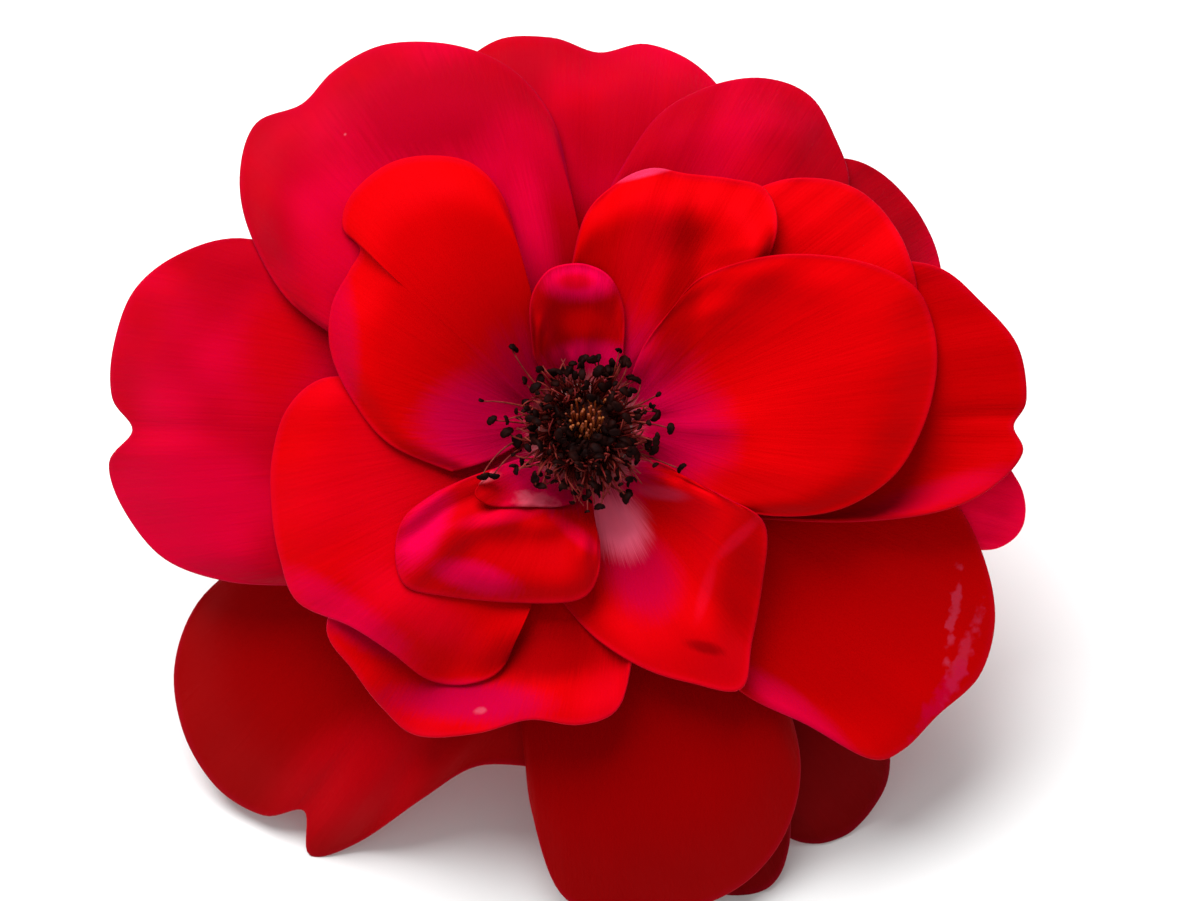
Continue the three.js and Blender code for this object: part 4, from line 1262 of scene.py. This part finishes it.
    def bristle(self) -> bpy.types.Mesh:
        """One fine gland-tipped bristle, standing along +Z, in metres."""
        sides, rings = self.BRISTLE_SIDES, len(self.BRISTLE_PROFILE)
        foot, tip = self.BRISTLE_ENDS
        points = [(0.0, 0.0, foot)]
        for radius, height in self.BRISTLE_PROFILE:
            for n in range(sides):
                turn = 2 * math.pi * n / sides
                points.append((radius * math.cos(turn), radius * math.sin(turn), height))
        points.append((0.0, 0.0, tip))
        last = 1 + (rings - 1) * sides
        faces = [(0, 1 + (n + 1) % sides, 1 + n) for n in range(sides)]
        faces += ring_faces(rings, sides, 1)
        faces += [(last + n, last + (n + 1) % sides, len(points) - 1) for n in range(sides)]
        mesh = bpy.data.meshes.new("bristle")
        mesh.from_pydata((np.array(points) * MM).tolist(), [], faces)
        return mesh


@dataclass(frozen=True)
class Strand:
    """One filament or style: its points, its tip's size and turn, all in the bloom's frame."""

    points: np.ndarray
    widths: np.ndarray
    tip_size: float
    tip_turn: tuple[float, float, float]


@dataclass
class Androecium:
    """The ring of stamens: dark anthers on thin red filaments."""

    place: BloomPlace
    heights: HeightMap
    count: int = 190
    bare_count: int = 90
    inner_count: int = 46
    ring_radius: float = 2.8
    nearest: float = 1.9
    spread: float = 4.9
    tallest: float = 5.6
    fall: float = 2.6
    turn_jitter: tuple[float, float] = (-16, 16)
    reach_jitter: tuple[float, float] = (-0.8, 0.7)
    height_jitter: tuple[float, float] = (-1.8, 0.9)
    inner_arc: tuple[float, float] = (175, 365)
    inner_reach: tuple[float, float] = (1.0, 2.8)
    inner_height: tuple[float, float] = (2.8, 5.2)
    bare_reach: tuple[float, float] = (2.4, 6.4)
    bare_height: float = 6.6
    bare_fall: float = 0.45
    stray_height: float = 2.6
    stray: tuple[tuple[float, float], ...] = (
        (10, 7.4), (57, 7.4), (137, 9.4), (154, 9.4), (168, 8.1), (190, 9.7), (197, 8.8), (331, 9.2),
    )
    POINTS = 14
    WIDTH = 0.1
    TIP_ROOM = 0.6
    TIP_CLEARANCE = 0.75
    CLEARANCE = 0.25
    FOOT_SHARE = 0.15
    MOST_LEAN = 1.2
    ANTHER_AROUND = 14
    ANTHER_ALONG = 11

    def strand(self, angle: float, distance: float, height: float, rng: np.random.Generator) -> Strand:
        """One stamen, rising from the ring and leaning out over the petals.

        Args:
            angle: its place round the axis, in degrees.
            distance: how far out its anther is.
            height: how far it rises.
            rng: the source of its small bends.

        Returns:
            The strand.
        """
        t = np.linspace(0, 1, self.POINTS)
        foot = self.ring_radius + 0.5 * rng.uniform(-1, 1)
        twist = rng.uniform(*self.turn_jitter)
        flat = polar(angle + twist * t**2, foot + (distance - foot) * t**1.1)
        side = polar(angle + 90, 1.0) * rng.uniform(-0.5, 0.5)
        flat = flat + side[None, :] * np.sin(math.pi * t)[:, None]
        lift = NECK_TOP - 0.1 + height * np.sin(math.pi / 2 * t)
        tip_clear = self.heights.around(flat[-1, 0], flat[-1, 1], self.TIP_ROOM) + self.TIP_CLEARANCE
        if lift[-1] < tip_clear:
            lift = lift + (tip_clear - lift[-1]) * t
        under = self.heights.taken(flat[:, 0], flat[:, 1]) + self.CLEARANCE
        lift = np.where(t > self.FOOT_SHARE, np.maximum(lift, under), lift)
        points = np.column_stack([flat, lift])
        widths = self.WIDTH * (1.25 - 0.6 * t)
        most = self.MOST_LEAN
        lean = (rng.uniform(-most, most), rng.uniform(-most, most), rng.uniform(0, 2 * math.pi))
        return Strand(points, widths, rng.uniform(0.45, 1.0), lean)

    def anther(self) -> bpy.types.Mesh:
        """One anther: two long lobes with a groove between them, in metres."""
        around, along = self.ANTHER_AROUND, self.ANTHER_ALONG
        points = []
        for j in range(along + 1):
            u = math.pi * j / along
            for n in range(around):
                v = 2 * math.pi * n / around
                groove = 1 - 0.28 * abs(math.cos(v)) ** 6
                knobs = 1 + 0.2 * math.sin(2 * v + 5 * u) * math.sin(3 * u)
                girth = 0.36 * math.sin(u) ** 0.75 * groove * knobs
                bend = 0.28 * math.sin(u)
                points.append((0.68 * math.cos(u), girth * 1.1 * math.sin(v), girth * 0.85 * math.cos(v) + bend))
        mesh = bpy.data.meshes.new("anther")
        mesh.from_pydata((np.array(points) * MM).tolist(), [], ring_faces(along + 1, around))
        work = bmesh.new()
        work.from_mesh(mesh)
        bmesh.ops.remove_doubles(work, verts=work.verts, dist=1e-6)
        work.to_mesh(mesh)
        work.free()
        return mesh

    def build(self) -> None:
        """Makes and dresses the stamens."""
        rng = np.random.default_rng(21)
        strands = []
        for k in range(self.count):
            share = ((k * 47) % self.count + 0.5) / self.count
            distance = self.nearest + self.spread * share**0.6 + rng.uniform(*self.reach_jitter)
            height = self.tallest - self.fall * share + rng.uniform(*self.height_jitter)
            angle = k * GOLDEN_TURN + rng.uniform(*self.turn_jitter)
            strands.append(self.strand(angle, distance, height, rng))
        strands += [self.strand(angle, distance, self.stray_height, rng) for angle, distance in self.stray]
        for _ in range(self.inner_count):
            angle, distance = rng.uniform(*self.inner_arc), rng.uniform(*self.inner_reach)
            strands.append(self.strand(angle, distance, rng.uniform(*self.inner_height), rng))
        for _ in range(self.bare_count):
            angle, distance = rng.uniform(0, 360), rng.uniform(*self.bare_reach)
            bare = self.strand(angle, distance, self.bare_height - self.bare_fall * distance, rng)
            hook = polar(rng.uniform(0, 360), 1.0) * rng.uniform(0.3, 0.8)
            bare.points[-5:, :2] += np.linspace(0, 1, 5)[:, None] ** 2 * hook
            bare.points[-3:, 2] -= np.array([0.05, 0.2, 0.45])
            strands.append(Strand(bare.points, bare.widths, 0.0, bare.tip_turn))
        thread = GrainFinish("filament_red", (0.13, 0.003, 0.004, 1), (0.3, 0.05, 0.03, 1),
                             light_share=0.35, gloss=0.15)
        dust = GrainFinish("anther_brown", (0.005, 0.001, 0.001, 1), (0.018, 0.003, 0.002, 1), gloss=0.03)
        made = StrandTree().grown(strands, self.place, self.anther(), thread.material(), dust.material())
        dress(finished("stamens_skin", made), None, "stamens")


@dataclass
class Pistil:
    """The tuft of orange-brown styles in the middle."""

    place: BloomPlace
    count: int = 46
    tuft_radius: float = 1.7
    height: float = 6.0
    lean: float = 1.2

    POINTS = 9
    WIDTH = 0.1
    KNOB_RADIUS = 0.2
    KNOB_HEIGHT = 0.7

    def build(self) -> None:
        """Makes and dresses the styles."""
        rng = np.random.default_rng(8)
        strands = []
        for k in range(self.count):
            share = math.sqrt((k + 0.5) / self.count)
            t = np.linspace(0, 1, self.POINTS)
            angle = k * GOLDEN_TURN + rng.uniform(-20, 20)
            reach = self.tuft_radius * share * (0.45 + rng.uniform(0.35, 0.9) * t**1.5)
            turned = angle + rng.uniform(-30, 60) * t
            flat = polar(turned, reach + 0.25 * np.sin(math.pi * t)) + np.outer(t**1.5, (0.0, self.lean))
            flat = flat + np.outer(np.sin(2.6 * t) * t, rng.uniform(-0.35, 0.35, 2))
            lift = NECK_TOP - 0.1 + (self.height * (1 - 0.3 * share**2) + rng.uniform(-0.5, 0.3)) * t
            turn = (rng.uniform(-0.5, 0.5), rng.uniform(-0.5, 0.5), rng.uniform(0, 6))
            widths = np.full(self.POINTS, self.WIDTH)
            strands.append(Strand(np.column_stack([flat, lift]), widths, rng.uniform(0.5, 0.8), turn))
        thread = GrainFinish("style_gold", (0.16, 0.012, 0.006, 1), (0.4, 0.08, 0.012, 1), (0.4, 0.075, 0.012, 1))
        knob = GrainFinish("stigma_gold", (0.18, 0.025, 0.007, 1), (0.4, 0.115, 0.015, 1))
        made = StrandTree().grown(strands, self.place, self.stigma(), thread.material(), knob.material())
        dress(finished("styles_skin", made), None, "styles")

    def stigma(self) -> bpy.types.Mesh:
        """The small knob at the end of a style, in metres."""
        work = bmesh.new()
        bmesh.ops.create_icosphere(work, subdivisions=2, radius=self.KNOB_RADIUS * MM)
        for vertex in work.verts:
            vertex.co.z *= self.KNOB_HEIGHT
        mesh = bpy.data.meshes.new("stigma")
        work.to_mesh(mesh)
        work.free()
        return mesh


class GrowingTree(Tree):
    """A Geometry Nodes tree with named inputs, applied to a mesh and then thrown away."""

    def __init__(self, name: str, wanted: dict[str, str]) -> None:
        """Makes the empty tree.

        Args:
            name: the tree's name.
            wanted: each input's name and socket type, after the geometry.
        """
        super().__init__(bpy.data.node_groups.new(name, "GeometryNodeTree"))
        face = self.tree.interface
        face.new_socket("Geometry", in_out="INPUT", socket_type="NodeSocketGeometry")
        face.new_socket("Geometry", in_out="OUTPUT", socket_type="NodeSocketGeometry")
        self.keys = {label: face.new_socket(label, in_out="INPUT", socket_type=kind).identifier
                     for label, kind in wanted.items()}
        self.source = self.tree.nodes.new("NodeGroupInput")

    def wanted(self, name: str) -> Value:
        """One of the tree's own inputs."""
        return Value(self, self.source.outputs[name])

    def carried(self, what: Given, kind: str = "FLOAT") -> Value:
        """An attribute of the geometry that flows through the tree."""
        return self.node("GeometryNodeInputNamedAttribute", {"data_type": kind}, {"Name": what.value}, "Attribute")

    def ends_in(self, parts: list[Value]) -> None:
        """Joins the parts and hands them out."""
        join = self.tree.nodes.new("GeometryNodeJoinGeometry")
        for part in parts:
            self.tree.links.new(part.socket, join.inputs[0])
        result = self.tree.nodes.new("NodeGroupOutput")
        self.tree.links.new(join.outputs[0], result.inputs[0])

    def solid(self, part: Value, finish: Value) -> Value:
        """A part made real, smooth and in its finish."""
        real = self.node("GeometryNodeRealizeInstances", {}, {"Geometry": part})
        smooth = self.node("GeometryNodeSetShadeSmooth", {}, {"Geometry": real})
        return self.node("GeometryNodeSetMaterial", {}, {"Geometry": smooth, "Material": finish})

    def applied(self, mesh: bpy.types.Mesh, values: dict[str, object]) -> bpy.types.Mesh:
        """Runs the tree on a mesh.

        Args:
            mesh: what it starts from.
            values: a value for each of its inputs.

        Returns:
            The plain mesh that comes out.
        """
        holder = linked("holder", mesh)
        modifier = holder.modifiers.new("growing", "NODES")
        modifier.node_group = self.tree
        for label, value in values.items():
            modifier[self.keys[label]] = value
        holder.update_tag()
        ready = holder.evaluated_get(bpy.context.evaluated_depsgraph_get())
        made = bpy.data.meshes.new_from_object(ready)
        bpy.data.objects.remove(holder)
        return made


class StrandTree(GrowingTree):
    """Turns polylines into tapering strands, each with a knob or an anther at its tip."""

    SIDES = 6
    LEAST_TIP = 0.01

    def __init__(self) -> None:
        """Builds the tree."""
        super().__init__("strands", {
            "Tip": "NodeSocketObject", "Sides": "NodeSocketInt", "Least tip": "NodeSocketFloat",
            "Strand finish": "NodeSocketMaterial", "Tip finish": "NodeSocketMaterial",
        })
        curve = self.node("GeometryNodeMeshToCurve", {}, {"Mesh": self.wanted("Geometry")})
        profile = {"Resolution": self.wanted("Sides"), "Radius": MM}
        circle = self.node("GeometryNodeCurvePrimitiveCircle", {}, profile, "Curve")
        tube = {"Curve": curve, "Profile Curve": circle, "Scale": self.carried(Given.THICK), "Fill Caps": True}
        strand = self.node("GeometryNodeCurveToMesh", {}, tube)
        tip = self.node("GeometryNodeObjectInfo", {}, {"Object": self.wanted("Tip")}, "Geometry")
        size = self.carried(Given.TIP_SIZE)
        chosen = self.node("ShaderNodeMath", {"operation": "GREATER_THAN"}, {0: size, 1: self.wanted("Least tip")})
        tips = self.node("GeometryNodeInstanceOnPoints", {}, {
            "Points": curve, "Selection": chosen, "Instance": tip,
            "Rotation": self.carried(Given.TIP_TURN, "FLOAT_VECTOR"), "Scale": size,
        })
        self.ends_in([self.solid(strand, self.wanted("Strand finish")), self.solid(tips, self.wanted("Tip finish"))])

    def grown(
        self,
        strands: list[Strand],
        place: BloomPlace,
        tip: bpy.types.Mesh,
        thread: bpy.types.Material,
        knob: bpy.types.Material,
    ) -> bpy.types.Mesh:
        """Makes one mesh of all the strands.

        Args:
            strands: the strands.
            place: where the bloom stands.
            tip: the mesh at each tip.
            thread: the strands' finish.
            knob: the tips' finish.

        Returns:
            The mesh, in the part's frame.
        """
        edges, start = [], 0
        for strand in strands:
            edges += [(start + k, start + k + 1) for k in range(len(strand.points) - 1)]
            start += len(strand.points)
        mesh = bpy.data.meshes.new("strands")
        mesh.from_pydata(place.world(np.concatenate([s.points for s in strands])).tolist(), edges, [])
        write_attribute(mesh, Given.THICK, np.concatenate([s.widths for s in strands]))
        shares = [np.linspace(0, 1, len(s.points)) for s in strands]
        write_attribute(mesh, Given.SHARE, np.concatenate(shares))
        sizes = [np.where(share == 1, s.tip_size, 0.0) for s, share in zip(strands, shares)]
        write_attribute(mesh, Given.TIP_SIZE, np.concatenate(sizes))
        turns = [np.tile(s.tip_turn, (len(s.points), 1)) + np.array([[LEAN, 0, 0]]) for s in strands]
        write_attribute(mesh, Given.TIP_TURN, np.concatenate(turns))
        tip_object = bpy.data.objects.new("tip", tip)
        return self.applied(mesh, {
            "Tip": tip_object, "Sides": self.SIDES, "Least tip": self.LEAST_TIP,
            "Strand finish": thread, "Tip finish": knob,
        })


class BristleTree(GrowingTree):
    """Sets fine bristles square on a surface."""

    SIZE_SEED = 3

    def __init__(self) -> None:
        """Builds the tree."""
        super().__init__("bristles", {
            "Bristle": "NodeSocketObject", "Density": "NodeSocketFloat", "Seed": "NodeSocketInt",
            "Least size": "NodeSocketFloat", "Most size": "NodeSocketFloat",
        })
        spread = self.tree.nodes.new("GeometryNodeDistributePointsOnFaces")
        for name in ("Density", "Seed"):
            self.tree.links.new(self.wanted(name).socket, spread.inputs[name])
        self.tree.links.new(self.wanted("Geometry").socket, spread.inputs["Mesh"])
        bristle = self.node("GeometryNodeObjectInfo", {}, {"Object": self.wanted("Bristle")}, "Geometry")
        limits = {"Min": self.wanted("Least size"), "Max": self.wanted("Most size"), "Seed": self.SIZE_SEED}
        size = self.node("FunctionNodeRandomValue", {"data_type": "FLOAT"}, limits)
        set_up = self.node("GeometryNodeInstanceOnPoints", {}, {
            "Points": Value(self, spread.outputs["Points"]), "Instance": bristle,
            "Rotation": Value(self, spread.outputs["Rotation"]), "Scale": size,
        })
        self.ends_in([self.node("GeometryNodeRealizeInstances", {}, {"Geometry": set_up})])

    def grown(self, base: bpy.types.Object, bristle: bpy.types.Mesh, values: dict[str, object]) -> bpy.types.Mesh:
        """Makes the bristles of one surface.

        Args:
            base: the piece that they stand on.
            bristle: one bristle.
            values: their density to the square metre, their seed and the limits of their size.

        Returns:
            The bristles alone.
        """
        one = bpy.data.objects.new("bristle", bristle)
        return self.applied(base.data.copy(), {"Bristle": one} | values)


@dataclass
class Studio:
    """A pale floor, one broad soft lamp above the bloom's upper side and the camera."""

    place: BloomPlace
    floor_size: float = 6.0
    floor_dark: Colour = (0.84, 0.84, 0.84, 1)
    floor_light: Colour = (0.86, 0.86, 0.86, 1)
    lamp_size: float = 0.62
    lamp_power: float = 9.0
    lamp_direction: tuple[float, float, float] = (-0.22, 0.36, 0.92)
    lamp_distance: float = 0.75
    ambient: float = 0.5
    lens: float = 156.4
    sensor: float = 36.0
    near_clip: float = 0.01
    aim: tuple[float, float, float] = (1.3, -1.8, 460.0)

    def build(self) -> None:
        """Sets the floor, the light and the camera."""
        self.floor()
        self.light()
        self.camera()

    def floor(self) -> None:
        """A plain pale floor with a very faint grain."""
        half = self.floor_size / 2
        mesh = bpy.data.meshes.new("floor")
        corners = [(-half, -half, 0), (half, -half, 0), (half, half, 0), (-half, half, 0)]
        mesh.from_pydata(corners, [], [(0, 1, 2, 3)])
        piece = linked("studio_floor", mesh)
        sh = Shader("studio_floor")
        grain = sh.noise(sh.place(), 0.02, 2.0)
        colour = sh.mix(grain, self.floor_dark, self.floor_light)
        sh.surface({"Base Color": colour, "Roughness": 0.9, "Specular IOR Level": 0.1})
        mesh.materials.append(sh.material)

    def light(self) -> None:
        """The lamp, and the even light of the room."""
        lamp = bpy.data.lights.new("softbox", "AREA")
        lamp.shape = "DISK"
        lamp.size = self.lamp_size
        lamp.energy = self.lamp_power
        piece = linked("softbox", lamp)
        direction = Vector(self.lamp_direction).normalized()
        piece.location = direction * self.lamp_distance
        piece.rotation_mode = "QUATERNION"
        piece.rotation_quaternion = direction.to_track_quat("Z", "Y")
        world = bpy.data.worlds.new("room")
        world.use_nodes = True
        background = world.node_tree.nodes["Background"]
        background.inputs["Color"].default_value = (1.0, 1.0, 1.0, 1.0)
        background.inputs["Strength"].default_value = self.ambient
        bpy.context.scene.world = world
        bpy.context.scene.view_settings.view_transform = "Standard"

    def camera(self) -> None:
        """The camera, looking down the bloom's axis."""
        camera = bpy.data.cameras.new("camera")
        camera.sensor_width = self.sensor
        camera.lens = self.lens
        camera.clip_start = self.near_clip
        piece = linked("camera", camera)
        spot = self.place.world(np.array([self.aim]))[0]
        piece.matrix_world = Matrix.Translation(Vector(spot)) @ self.place.turn
        bpy.context.scene.camera = piece


def main() -> None:
    """Builds the bloom and its studio."""
    logging.basicConfig(level=logging.INFO, format="%(message)s")
    place = BloomPlace.from_hip()
    heights = HeightMap()
    Calyx(place, heights).build()
    Corolla(place, heights).build()
    Androecium(place, heights).build()
    Pistil(place).build()
    Studio(place).build()


if __name__ == "__main__":
    main()
